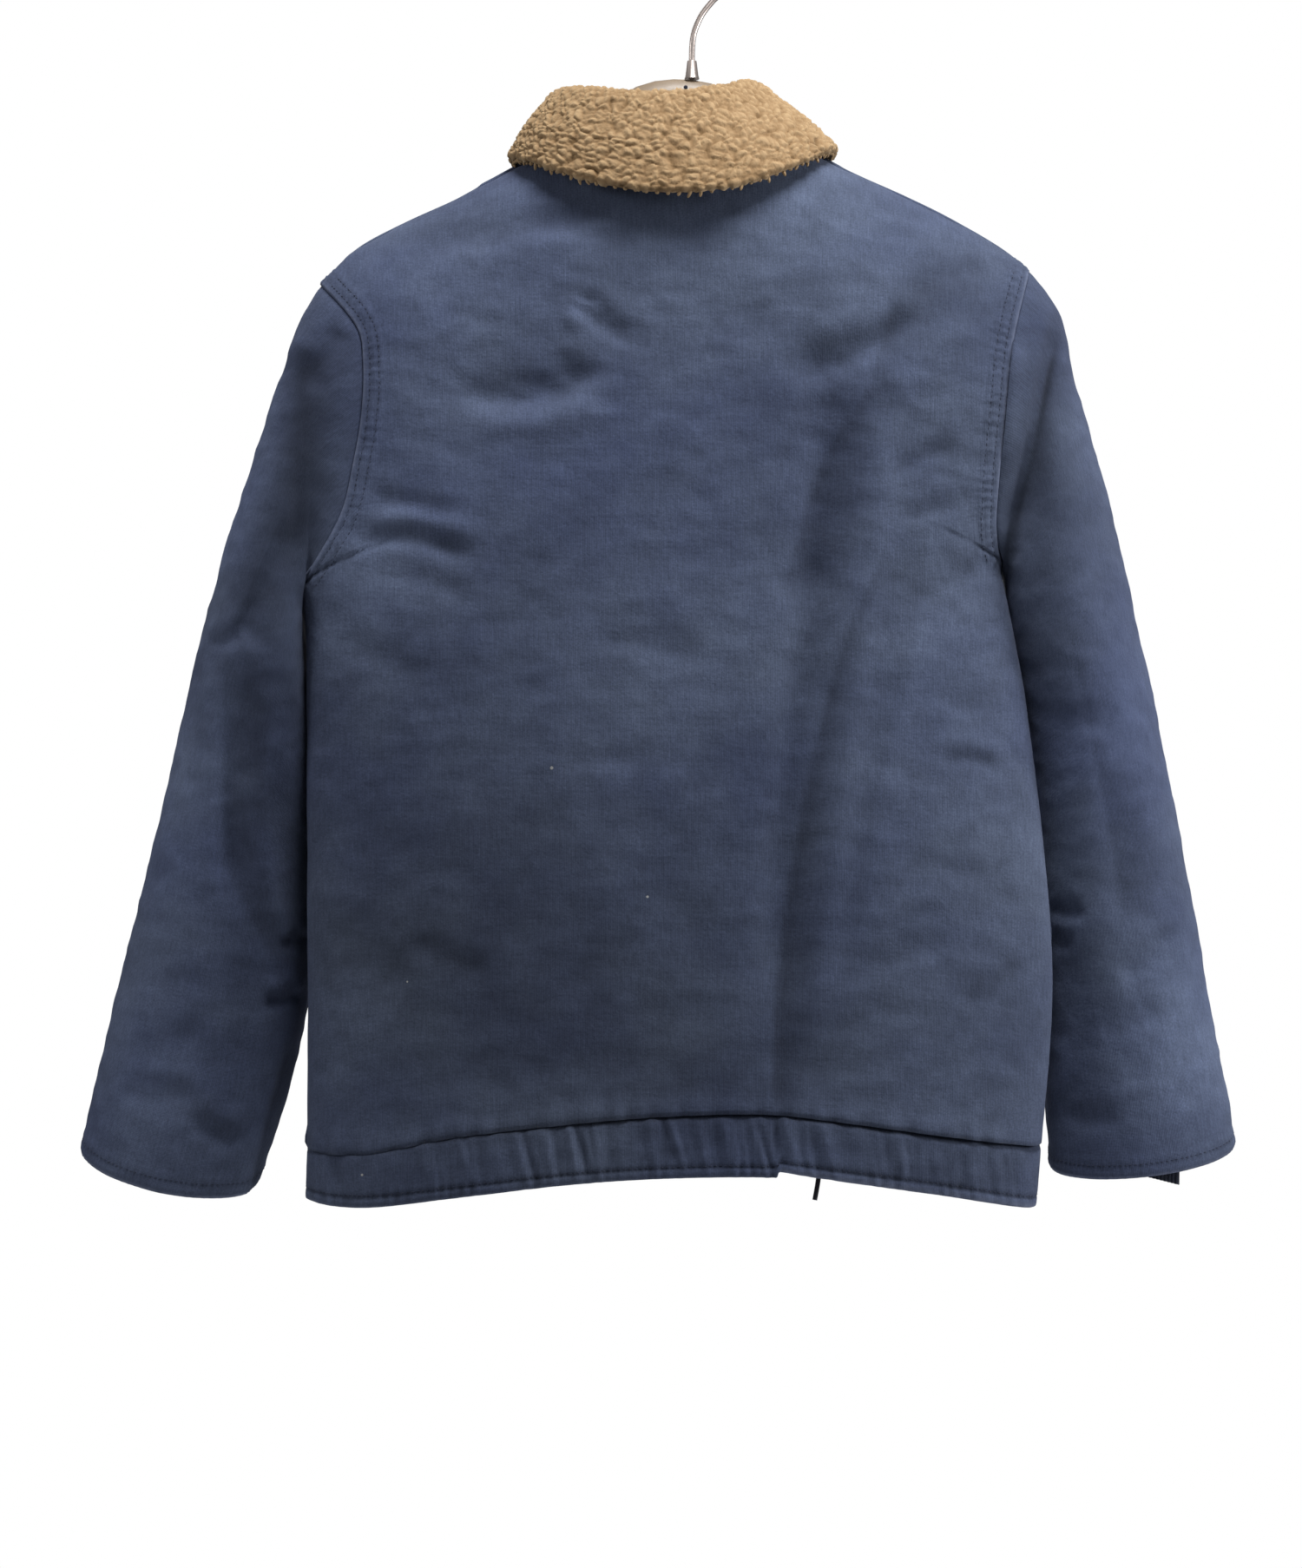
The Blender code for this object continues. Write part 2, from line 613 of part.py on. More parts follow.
def collar_point(turn, t):
    """The middle of the collar's sheet: up the stand (to 0.38), over the roll (to 0.54), down the fall."""
    x, z = neck(turn)
    base = body_point(x, z, 1 if math.cos(turn) > 0 else -1)
    outward = Vector((math.sin(turn), math.cos(turn), 0)).normalized()
    base += Vector((0, 0, 0.0036)) - outward * 0.0010
    roll = collar_ring(turn, ROLL_SHIFT, ROLL_HALF_WIDTH, ROLL_BACK, ROLL_FRONT, ROLL_Z)
    edge = collar_ring(turn, 0.0, FALL_HALF_WIDTH, FALL_BACK, FALL_FRONT, FALL_Z)
    up = Vector((0, 0, 1))
    if t < 0.38:
        return base.lerp(roll - outward * ROLL_RADIUS, t / 0.38)
    if t < 0.54:
        angle = math.pi * (t - 0.38) / 0.16
        return roll + (up * math.sin(angle) - outward * math.cos(angle)) * ROLL_RADIUS
    share = (t - 0.54) / 0.46
    start = roll + outward * ROLL_RADIUS
    bow = outward * 0.003 * math.sin(math.pi * share)
    return start.lerp(edge, share) + bow


def make_collar(parts, look):
    reach = math.pi - math.radians(COLLAR_OPEN)

    def point(u, v):
        return collar_point(blend(-reach, reach, u), v)

    return sheet("collar", 36, 13, point, COLLAR_WALL, parts, look, offset=0.0)


# The zip.


def front_edge_x(side):
    return CENTRE_X + (ZIP_HALF - SEAM_GAP / 2) * (1 if side == "left" else -1)


def zip_y(z):
    """The front's outer face along the centre line."""
    return body_y(CENTRE_X, z, -1)


def make_zip_half(side, parts, look):
    top = neck(math.pi)[1] - 0.0006
    low = hem_z(CENTRE_X, 2) + 0.002
    sign = 1 if side == "left" else -1
    inner, outer = CENTRE_X + sign * SEAM_GAP / 2, front_edge_x(side)

    def point(u, v):
        x = blend(inner, outer, u) if sign > 0 else blend(outer, inner, u)
        z = blend(low, top, v)
        return Vector((x, zip_y(z), z))

    return sheet("zip_" + side, 1, 26, point, ZIP_WALL, parts, look)


def slider_face_y():
    """The slider body's outer face."""
    return min(zip_y(SLIDER_Z + d) for d in (-0.020, 0, 0.020)) - SEAM_GAP - SLIDER.y


def make_slider(parts, cutters, look):
    """The slider's body, with a bridge over the pull tab's cross bar."""
    shape = bmesh.new()
    bmesh.ops.create_cube(shape, size=1.0)
    bmesh.ops.scale(shape, vec=SLIDER, verts=shape.verts)
    mesh = bpy.data.meshes.new("zip_slider")
    shape.to_mesh(mesh)
    shape.free()
    made = add("zip_slider", mesh, parts, look)
    made.location = (CENTRE_X, slider_face_y() + SLIDER.y / 2, SLIDER_Z)
    soft = made.modifiers.new("Edges", "BEVEL")
    soft.width = 0.0007
    soft.segments = 2

    outline = bpy.data.curves.new("bridge", "CURVE")
    outline.dimensions = "2D"
    outline.fill_mode = "BOTH"
    outline.extrude = BRIDGE_HALF_WIDTH
    length, out, bar = BRIDGE_HALF_LENGTH, BRIDGE_OUT, BRIDGE_BAR
    for ring in (
        ((-length, -0.001), (length, -0.001), (length, out * 0.6), (length - 0.0012, out),
         (-length + 0.0012, out), (-length, out * 0.6)),
        ((-length + bar, 0.00005), (length - bar, 0.00005), (length - bar, out - bar),
         (-length + bar, out - bar)),
    ):
        line = outline.splines.new("POLY")
        line.points.add(len(ring) - 1)
        for dot, (a, b) in zip(line.points, ring):
            dot.co = (a, b, 0, 1)
        line.use_cyclic_u = True
    bridge = add("bridge_curve", outline, cutters, look)
    bridge.location = (CENTRE_X, slider_face_y(), SLIDER_Z)
    bridge.rotation_euler = (math.radians(180), math.radians(-90), 0)
    solid = meshed(bridge, "zip_slider_bridge", cutters, look)
    join = made.modifiers.new("Bridge", "BOOLEAN")
    join.operation = "UNION"
    join.object = solid
    return made


def meshed(curve, name, parts, look):
    """A curve object as a mesh, with its caps welded."""
    bpy.context.view_layer.update()
    graph = bpy.context.evaluated_depsgraph_get()
    mesh = bpy.data.meshes.new_from_object(curve.evaluated_get(graph))
    shape = bmesh.new()
    shape.from_mesh(mesh)
    bmesh.ops.remove_doubles(shape, verts=shape.verts, dist=1e-6)
    bmesh.ops.recalc_face_normals(shape, faces=shape.faces)
    shape.to_mesh(mesh)
    shape.free()
    mesh.materials.clear()
    made = add(name, mesh, parts, look)
    made.matrix_world = curve.matrix_world
    made.display_type = "WIRE"
    bpy.data.objects.remove(curve, do_unlink=True)
    return made


def pull_axis():
    """The middle of the pull tab's cross bar, which its hinge turns on."""
    lowest = SLIDER_Z - BRIDGE_HALF_LENGTH + BRIDGE_BAR
    return Vector((CENTRE_X, slider_face_y() - 0.0013, lowest + PULL_BAR / 2 + 0.0004))


def make_pull_tab(parts, look):
    outline = bpy.data.curves.new("zip_pull_tab", "CURVE")
    outline.dimensions = "2D"
    outline.fill_mode = "BOTH"
    outline.extrude = PULL_THICKNESS / 2
    half, bar = PULL_HALF_WIDTH, PULL_BAR / 2
    window_half, window_low = PULL_WINDOW
    end = -PULL_LENGTH
    rings = (
        [(-half, bar), (half, bar), (half, end + half)]
        + [(half * math.cos(a), end + half - half * math.sin(a))
           for a in (math.radians(d) for d in range(20, 161, 20))]
        + [(-half, end + half)],
        [(-window_half, -bar), (window_half, -bar), (window_half, -window_low), (-window_half, -window_low)],
    )
    for ring in rings:
        line = outline.splines.new("POLY")
        line.points.add(len(ring) - 1)
        for dot, (a, b) in zip(line.points, ring):
            dot.co = (a, b, 0, 1)
        line.use_cyclic_u = True
    made = add("zip_pull_tab", outline, parts, look)
    made.location = pull_axis()
    made.rotation_euler = (math.radians(90), 0, 0)
    return made


# The strap end, the drawcord and the hanger.


def make_strap(parts, look):
    """A strap that hangs inside the right cuff, with its slanted end below the cuff's edge."""
    left_x, right_x = -0.2855, -0.2855 - STRAP_WIDTH

    def point(u, v):
        x = blend(left_x, right_x, u)
        low = blend(-0.7925, -0.7990, u)
        z = blend(low, -0.735, v)
        y = blend(-0.0142, -0.0057, smooth(v))
        return Vector((x, y, z))

    return sheet("cuff_strap_right", 3, 6, point, STRAP_WALL, parts, look, offset=0.0)


def cord_route():
    """Out of the inside of the hem band, then down past its lower edge."""
    inside = band_point(CORD_X, -0.7660, 1).y - BAND_WALL
    return (
        Vector((CORD_X, inside - 0.0014, -0.7660)),
        Vector((CORD_X, inside - 0.0042, -0.7676)),
        Vector((CORD_X + 0.0003, inside - 0.0068, -0.7730)),
        Vector((CORD_X + 0.0010, inside - 0.0070, -0.7820)),
        Vector((CORD_X + 0.0022, inside - 0.0064, -0.7900)),
        Vector((CORD_X + 0.0038, inside - 0.0056, -0.7985)),
    )


def through(points, steps):
    """A smooth line through the points."""
    line = []
    for i in range(len(points) - 1):
        a, b = points[i], points[i + 1]
        before = points[i - 1] if i else a
        after = points[i + 2] if i + 2 < len(points) else b
        for k in range(steps):
            t = k / steps
            line.append(
                ((2 * t**3 - 3 * t**2 + 1) * a + (t**3 - 2 * t**2 + t) * (b - before) / 2)
                + ((3 * t**2 - 2 * t**3) * b + (t**3 - t**2) * (after - a) / 2)
            )
    return line + [points[-1]]


def wire(name, points, radius, sides, parts, look):
    curve = bpy.data.curves.new(name, "CURVE")
    curve.dimensions = "3D"
    curve.bevel_depth = radius
    curve.bevel_resolution = sides
    curve.use_fill_caps = True
    line = curve.splines.new("POLY")
    line.points.add(len(points) - 1)
    for dot, at in zip(line.points, points):
        dot.co = (*at, 1)
    return add(name, curve, parts, look)


def make_hook(parts, look):
    centre_z = WIRE_RADIUS - HOOK_RADIUS
    shank = [Vector((x, 0, z)) for x, z in SHANK_ROWS]
    bend = [
        Vector((-HOOK_RADIUS * math.cos(a), 0, centre_z + HOOK_RADIUS * math.sin(a)))
        for a in (math.radians(d) for d in range(HOOK_START, HOOK_END + 1, 14))
    ]
    points = through(shank + bend[:1], 3)[:-1] + bend
    return wire("hanger_hook", points, WIRE_RADIUS, 2, parts, look)


def make_ferrule(parts, look):
    """The tapered metal collar that the hook's shank stands in."""
    inner, low, high = WIRE_RADIUS + 0.0003, -0.0962, -0.0850
    shape = bmesh.new()
    profile = ((inner, high), (0.0030, high), (0.0042, low + 0.002), (0.0048, low), (inner, low))
    dots = [shape.verts.new((r, 0, z)) for r, z in profile]
    for i in range(len(dots)):
        shape.edges.new((dots[i], dots[(i + 1) % len(dots)]))
    mesh = bpy.data.meshes.new("hanger_ferrule")
    shape.to_mesh(mesh)
    shape.free()
    made = add("hanger_ferrule", mesh, parts, look)
    turn = made.modifiers.new("Turn", "SCREW")
    turn.steps = turn.render_steps = 16
    turn.use_merge_vertices = True
    turn.merge_threshold = 0.00005
    return made


def make_hanger(parts, look):
    """The moulded hanger, as rings across it, with a bore for the hook's shank."""
    first, last = HANGER_ROWS[0][0], HANGER_ROWS[-1][0]
    rings, sides = 34, 12
    shape = bmesh.new()
    bmesh.ops.create_grid(shape, x_segments=sides, y_segments=rings, size=0.5)
    for corner in shape.verts:
        turn = 2 * math.pi * (corner.co.x + 0.5)
        x = blend(first, last, corner.co.y + 0.5)
        top, half, depth = (along(HANGER_ROWS, x, k) for k in (1, 2, 3))
        arm = shoulder_z(CENTRE_X + x) - WALL / math.cos(math.radians(30)) - HANGER_SEAT
        top = blend(top, arm, smooth((abs(x) - 0.070) / 0.020))
        corner.co = (CENTRE_X + x, depth * math.cos(turn), top - half + half * math.sin(turn))
    bmesh.ops.remove_doubles(shape, verts=shape.verts, dist=1e-6)
    bmesh.ops.holes_fill(shape, edges=[e for e in shape.edges if e.is_boundary], sides=0)
    bmesh.ops.recalc_face_normals(shape, faces=shape.faces)
    mesh = bpy.data.meshes.new("hanger")
    shape.to_mesh(mesh)
    shape.free()
    return add("hanger", mesh, parts, look)


def main():
    remove_all()
    parts = collection(NAME)
    cutters = collection(NAME + "_cutters", cutters=True)
    looks = {name: material(name) for name in COLOURS}
    make_back(parts, looks["navy_cloth"])
    for side in ("left", "right"):
        make_front(side, parts, looks["navy_cloth"])
        make_sleeve(side, parts, looks["navy_cloth"])
        make_zip_half(side, parts, looks["zip_tape"])
    make_bands(parts, looks["navy_band"])
    make_collar(parts, looks["pile"])
    make_slider(parts, cutters, looks["zip_metal"])
    make_pull_tab(parts, looks["zip_metal"])
    make_strap(parts, looks["strap"])
    wire("hem_drawcord", through(cord_route(), 2), CORD_RADIUS, 2, parts, looks["cord"])
    make_hanger(parts, looks["hanger_plastic"])
    make_ferrule(parts, looks["steel_wire"])
    make_hook(parts, looks["steel_wire"])


main()
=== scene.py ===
"""The looks of a deck jacket on a plastic hanger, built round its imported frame.

Metres, +Z up. The back, which the camera sees, faces +Y, and the wearer's left is +X. The cloth's form
repeats the sizes of the solids, with finer folds, seams, stitches and pile laid on it.
"""

import math

import bmesh
import bpy
import numpy as np
from mathutils import Matrix, Vector, noise
from mathutils.bvhtree import BVHTree


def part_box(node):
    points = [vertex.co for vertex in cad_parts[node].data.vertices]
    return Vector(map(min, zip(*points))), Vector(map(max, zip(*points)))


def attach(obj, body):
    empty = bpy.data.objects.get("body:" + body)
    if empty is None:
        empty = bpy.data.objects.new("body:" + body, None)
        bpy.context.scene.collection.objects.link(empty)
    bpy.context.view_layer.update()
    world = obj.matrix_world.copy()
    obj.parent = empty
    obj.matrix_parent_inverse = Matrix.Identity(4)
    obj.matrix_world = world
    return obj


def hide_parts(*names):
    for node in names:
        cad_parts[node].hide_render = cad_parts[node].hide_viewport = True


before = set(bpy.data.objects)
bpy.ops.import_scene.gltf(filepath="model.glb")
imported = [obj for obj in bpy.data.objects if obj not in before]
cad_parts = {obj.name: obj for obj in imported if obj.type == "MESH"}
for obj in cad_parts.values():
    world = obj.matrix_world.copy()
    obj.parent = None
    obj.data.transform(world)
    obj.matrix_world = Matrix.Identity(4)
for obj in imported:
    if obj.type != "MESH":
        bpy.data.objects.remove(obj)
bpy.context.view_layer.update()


def metres(rows, plain=()):
    """A table in metres. It is written in millimetres, but for words and the plain columns."""

    def size(column, value):
        if column in plain or isinstance(value, str):
            return value
        return metres(value) if isinstance(value, tuple) else value / 1000

    return tuple(tuple(size(column, value) for column, value in enumerate(row)) for row in rows)


SIDES = {"left": 1, "right": -1}  # the wearer's, and which way x runs there

# The jacket's form, as its solids have it, but for the sleeves' inner edges. They are up to 2.8 mm further in.
CENTRE_X = 0.0115
WALL = 0.0022
BAND_WALL = 0.0030
SHOULDER_ROUND = 0.105
SIDE_POWER = 2.6
BODY_ROWS = metres((
    # z, left x, right x, back depth, front depth
    (-815, 245, -217, 64.5, 68.5),
    (-773.5, 243.5, -220.5, 65, 69.5),
    (-673, 243.1, -228.1, 63.5, 70.5),
    (-574, 243.5, -221.6, 61.5, 70.5),
    (-490, 243.9, -210.9, 60, 69.5),
    (-445, 244.5, -203, 59.5, 67.5),
    (-420.4, 248.7, -198, 59, 66.5),
    (-403.9, 252.5, -196.1, 58.5, 65.5),
    (-350, 259.5, -216.5, 58.5, 64.5),
    (-290, 262.5, -230.5, 58, 62.5),
    (-90, 266.5, -238.5, 56.5, 60.5),
))
SHOULDER_ROWS = metres((
    # distance from the centre line, left z, right z
    (-30, -95, -95),
    (0, -99, -99),
    (77, -142, -139.5),
    (105, -156, -153.5),
    (135, -172.3, -166.5),
    (165, -185.7, -180.2),
    (195, -200.5, -196.3),
    (210.5, -212.5, -206),
    (225.1, -229, -217.5),
    (250, -260, -245),
))
ARMHOLE_ROWS = metres((
    # share from shoulder tip to armpit, left x, left z, right x, right z
    (0.00, 235, -227.5, -213.5, -217.5),
    (0.15, 209, -258.5, -202.5, -255),
    (0.30, 204, -283, -197, -283),
    (0.48, 205, -315, -193, -325),
    (0.65, 210.5, -346, -190.3, -356),
    (0.80, 218, -375, -189.3, -379),
    (0.91, 232.5, -400, -191, -394),
    (1.00, 247.7, -420.4, -195.1, -403.9),
), plain=[0])
NECK_HALF = 0.077
NECK_DROP_BACK = 0.016
NECK_DROP_FRONT = 0.058
NECK_SHARE = 0.33  # of a panel's upper edge
ARMPIT_AT = 0.60  # share of a panel's side edge, from the hem up
HEM_ROWS = metres((
    # x from the centre, seam z, edge z
    (234, -773.5, -803),
    (212, -773.6, -805.2),
    (186, -771.5, -804.5),
    (137, -761.1, -797.5),
    (68, -752.6, -788.5),
    (9, -748, -784.2),
    (-54, -746.9, -783.4),
    (-97, -751.7, -786.8),
    (-167, -762.5, -796.5),
    (-226, -772.2, -808),
))
SLEEVE_ROWS = {
    # share, outer x, outer z, inner x, inner z, centre y, half depth, armhole's share
    "left": metres((
        (0.00, 235, -227.5, 247.7, -420.4, 0, 42.5, 1.00),
        (0.05, 250, -252, 250, -431.4, -2, 39.5, 0.46),
        (0.11, 258.4, -278.8, 247, -445.5, -5, 41.5, 0.30),
        (0.18, 268.6, -308.3, 245.2, -462.3, -9, 46.5, 0.14),
        (0.30, 287, -365.8, 242.2, -498, -16, 53.5, 0.05),
        (0.40, 302.2, -409.7, 241.5, -523.5, -22, 55.5, 0.00),
        (0.52, 321.1, -474, 241.5, -559.2, -28, 55.5, 0.00),
        (0.64, 336.1, -541, 242, -597.3, -32, 53.5, 0.00),
        (0.75, 353.1, -608.3, 242.5, -642.2, -34, 49.5, 0.00),
        (0.86, 370.2, -675.6, 250, -701.1, -35, 43.5, 0.00),
        (0.95, 385.8, -740.1, 265.5, -760, -35, 36.5, 0.00),
        (1.00, 393.5, -777.6, 280, -800.4, -35, 31.5, 0.00),
    ), plain=[0, 7]),
    "right": metres((
        (0.00, -213.5, -217.5, -195.1, -403.9, 0, 42.5, 1.00),
        (0.05, -232.6, -244, -198.3, -416, -2, 39.5, 0.46),
        (0.11, -240.3, -279.3, -199.8, -431.5, -5, 41.5, 0.30),
        (0.18, -249.4, -309.3, -202.2, -452, -9, 46.5, 0.14),
        (0.30, -266, -363.8, -208.6, -490, -16, 53.5, 0.05),
        (0.40, -278.2, -410, -213.5, -518, -22, 55.5, 0.00),
        (0.52, -293.8, -474.3, -217.5, -555, -28, 55.5, 0.00),
        (0.64, -307.9, -541.3, -220.5, -594, -32, 53.5, 0.00),
        (0.75, -321.2, -608.4, -223.5, -640, -34, 49.5, 0.00),
        (0.86, -333.1, -675.7, -226.5, -699, -35, 43.5, 0.00),
        (0.95, -345.9, -740.2, -229, -751.6, -35, 36.5, 0.00),
        (1.00, -351.4, -775.5, -232, -790.8, -35, 31.5, 0.00),
    ), plain=[0, 7]),
}
CUFF_DROOP = {"left": 0.014, "right": 0.009}
COLLAR_WALL = 0.0070
COLLAR_OPEN = 15  # degrees from the centre front to each end
ROLL_SHIFT = 0.0105
ROLL_HALF_WIDTH = 0.0612
ROLL_BACK, ROLL_FRONT = 0.0500, 0.0540
ROLL_RADIUS = 0.0060
STAND_END, ROLL_END = 0.38, 0.54  # shares of the folded sheet, from the neck seam to the free edge
COLLAR_BEND = 0.055  # how far round each place the folded sheet is eased
ROLL_Z = {"left": -0.1135, "right": -0.1080, "back": -0.1245, "front": -0.1620}
FALL_HALF_WIDTH = 0.1015
FALL_BACK, FALL_FRONT = 0.0715, 0.0790
FALL_Z = {"left": -0.1490, "right": -0.1440, "back": -0.1835, "front": -0.2080}
ZIP_HALF = 0.0075
BAND_GATHERS = 25
HEM_WIDTH = 0.46

# Folds, as quadratic curves seen from behind: start, handle and end. A fold with some lean is steeper on one
# side. The body's are by face: the back's and the front's.
BODY_FOLDS = {1: metres((
    # name, start x, z, handle x, z, end x, z, half width, height, lean
    ("long slope, trough", -93, -276, -68, -456, -44, -747, 20, -8.5, 0.35),
    ("long slope, crest", -128, -264, -94, -466, -64, -741, 22, 5, -0.45),
    ("under the collar", 184, -212, 125, -200, 46, -192, 12, -4, 0.0),
    ("under the collar, roll", 181, -222, 110, -210, 52, -206, 12, 2.2, 0.0),
    ("hollow below the left blade", 162, -297, 86, -321, 58, -281, 11, -4.5, 0.3),
    ("roll below the hollow", 138, -318, 86, -332, 46, -302, 12, 2.6, 0.0),
    ("curl beside the spine", 74, -246, 64, -257, 31, -277, 8, -2.8, 0.3),
    ("curl beside the spine, roll", 83, -261, 65, -253, 64, -246, 8, 2, 0.0),
    ("right arc", -49, -293, -106, -289, -147, -238, 11, -4.2, 0.3),
    ("right arc, end", -125, -246, -163, -218, -186, -222, 9, -3, 0.0),
    ("right arc, roll above", -64, -259, -110, -269, -141, -232, 12, 2.6, 0.0),
    ("right arc, roll below", -113, -301, -137, -290, -177, -246, 13, 2.4, 0.0),
    ("left armpit, upper", 204, -368, 176, -367, 144, -381, 6, -2.2, 0.2),
    ("left armpit, middle", 214, -397, 180, -382, 126, -408, 7, -3.4, 0.2),
    ("left armpit, roll", 210, -385, 171, -371, 120, -397, 7, 2, 0.0),
    ("left armpit, low", 205, -416, 168, -411, 132, -433, 7, -2.2, 0.2),
    ("left flank", 230, -454, 190, -454, 162, -490, 10, -2.2, 0.0),
    ("right armpit, upper", -116, -354, -140, -345, -167, -329, 6, -2, 0.2),
    ("right armpit, middle", -122, -380, -155, -375, -180, -362, 6, -2, 0.2),
    ("right armpit, low", -128, -432, -158, -427, -180, -405, 7, -2, 0.2),
    ("right waist", -150, -533, -171, -520, -193, -538, 6, -2.6, 0.3),
    ("right waist, roll", -144, -522, -172, -510, -196, -526, 7, 1.6, 0.0),
    ("right low, upper", -125, -600, -153, -581, -193, -611, 8, -2.2, 0.2),
    ("right low, line", -88, -674, -125, -639, -162, -643, 9, -2.2, 0.2),
    ("right low, edge", -162, -680, -189, -671, -205, -649, 8, -2, 0.0),
    ("right low, diagonal", -64, -734, -96, -695, -125, -668, 10, -2.2, 0.0),
    ("middle, line", 64, -460, 32, -451, -15, -471, 9, -1.6, 0.2),
    ("middle, line below", 83, -533, 64, -522, 22, -534, 7, -1.6, 0.2),
    ("middle, diagonal", 132, -454, 103, -444, 90, -423, 10, -1.6, 0.0),
    ("middle, long soft", 46, -588, -9, -634, -40, -668, 16, -1.6, 0.0),
    ("right of the spine", -46, -423, -61, -418, -88, -405, 10, -1.8, 0.0),
    ("left low hollow", 224, -613, 214, -655, 168, -674, 20, -2.4, 0.0),
    ("left low line", 181, -634, 149, -652, 120, -658, 9, -1.8, 0.0),
    ("low left diagonal", 83, -674, 61, -643, 28, -637, 12, -1.6, 0.0),
    ("low middle", 34, -698, -10, -668, -27, -686, 12, -1.4, 0.0),
), plain=[9]), -1: metres((
    ("left long", 110, -300, 120, -520, 90, -760, 24, -7, 0.2),
    ("left long, roll", 78, -330, 85, -520, 62, -745, 20, 2.8, 0.0),
    ("right long", -120, -290, -105, -500, -125, -760, 22, -6.5, -0.2),
    ("right long, roll", -90, -330, -72, -520, -92, -745, 20, 2.6, 0.0),
    ("left armpit", 225, -405, 165, -390, 110, -420, 10, -4, 0.2),
    ("left armpit, roll", 215, -392, 165, -372, 112, -402, 9, 2, 0.0),
    ("right armpit", -185, -395, -140, -385, -95, -410, 10, -4, 0.2),
    ("right armpit, roll", -180, -380, -142, -366, -95, -388, 9, 2, 0.0),
    ("left chest", 170, -290, 130, -320, 80, -300, 12, -2.6, 0.2),
    ("right chest", -150, -275, -105, -310, -60, -295, 12, -2.6, 0.2),
    ("left waist", 215, -560, 175, -545, 130, -565, 9, -2.2, 0.2),
    ("right waist", -195, -600, -150, -585, -105, -610, 9, -2.2, 0.2),
    ("left low", 190, -700, 140, -680, 60, -700, 12, -2, 0.0),
    ("right low", -180, -690, -120, -670, -50, -695, 12, -2, 0.0),
), plain=[9])}
SLEEVE_FOLDS = {
    "left": metres((
        # name, start x, z, handle x, z, end x, z, half width, height, lean
        ("shoulder hollow", 239, -273, 233, -315, 245, -428, 10, -5, 0.3),
        ("long crease, upper", 242, -374, 269, -442, 280, -458, 10, -5, 0.4),
        ("long crease, kink", 298, -454, 285, -458, 275, -454, 5, -3.4, 0.3),
        ("long crease, lower", 279, -457, 289, -534, 282, -631, 11, -5, 0.5),
        ("ridge beside it", 275, -533, 268, -580, 250, -634, 11, 3, 0.0),
        ("inner hollow", 254, -527, 254, -585, 242, -631, 12, -2.6, 0.0),
        ("inner pinch", 251, -637, 245, -646, 235, -631, 6, -4, 0.3),
        ("inner pinch, lower", 265, -674, 253, -681, 237, -668, 5, -3.6, 0.3),
        ("inner pinch, roll", 263, -665, 248, -671, 237, -657, 6, 2.2, 0.0),
        ("low diagonal", 309, -738, 291, -744, 276, -758, 8, -3, 0.3),
        ("low diagonal, roll", 303, -730, 287, -735, 271, -748, 8, 1.8, 0.0),
        ("low ring", 352, -718, 330, -732, 300, -723, 10, -2, 0.2),
        ("low ring, upper", 346, -692, 322, -707, 294, -686, 11, -1.8, 0.0),
        ("shoulder line", 237, -307, 223, -278, 214, -264, 10, -1.8, 0.0),
        ("outer soft", 303, -380, 305, -455, 323, -527, 14, -1.6, 0.0),
    ), plain=[9]),
    "right": metres((
        ("fold edge", -227, -244, -206, -320, -193, -412, 8, -5, 0.5),
        ("second crease", -205, -322, -197, -353, -189, -395, 5, -2, 0.0),
        ("beside the seam, strip", -197, -264, -196, -304, -191, -356, 7, 2.2, 0.0),
        ("long soft", -223, -454, -203, -483, -239, -539, 15, -2.4, 0.0),
        ("long soft, lower", -248, -527, -269, -585, -254, -631, 16, -2.6, 0.0),
        ("ring at the elbow", -214, -509, -245, -498, -260, -512, 9, -2.2, 0.2),
        ("inner pinch", -215, -616, -229, -627, -240, -619, 6, -3.4, 0.3),
        ("inner pinch, lower", -215, -634, -224, -642, -234, -642, 6, -2.6, 0.3),
        ("inner hollow", -223, -631, -237, -678, -223, -710, 12, -2.6, 0.0),
        ("low line", -260, -665, -278, -650, -297, -631, 8, -2.2, 0.2),
        ("low line, second", -245, -692, -266, -689, -287, -674, 9, -1.8, 0.2),
        ("low edge", -217, -738, -234, -745, -266, -740, 9, -2, 0.2),
        ("outer soft", -241, -356, -258, -435, -272, -490, 14, -1.6, 0.0),
    ), plain=[9]),
}
SLEEVE_FRONT_FOLDS = {
    # name, share from, to, degrees round from the outer edge, from, to, half width in degrees, height
    "left": (
        ("front long crease", 0.30, 0.75, 285, 270, 18, -0.0045),
        ("front elbow", 0.42, 0.60, 235, 300, 10, -0.0024),
        ("front low", 0.70, 0.90, 250, 290, 12, -0.0022),
    ),
    "right": (
        ("front long crease", 0.28, 0.72, 288, 268, 18, -0.0045),
        ("front elbow", 0.44, 0.62, 240, 305, 10, -0.0024),
        ("front low", 0.72, 0.92, 255, 285, 12, -0.0022),
    ),
}

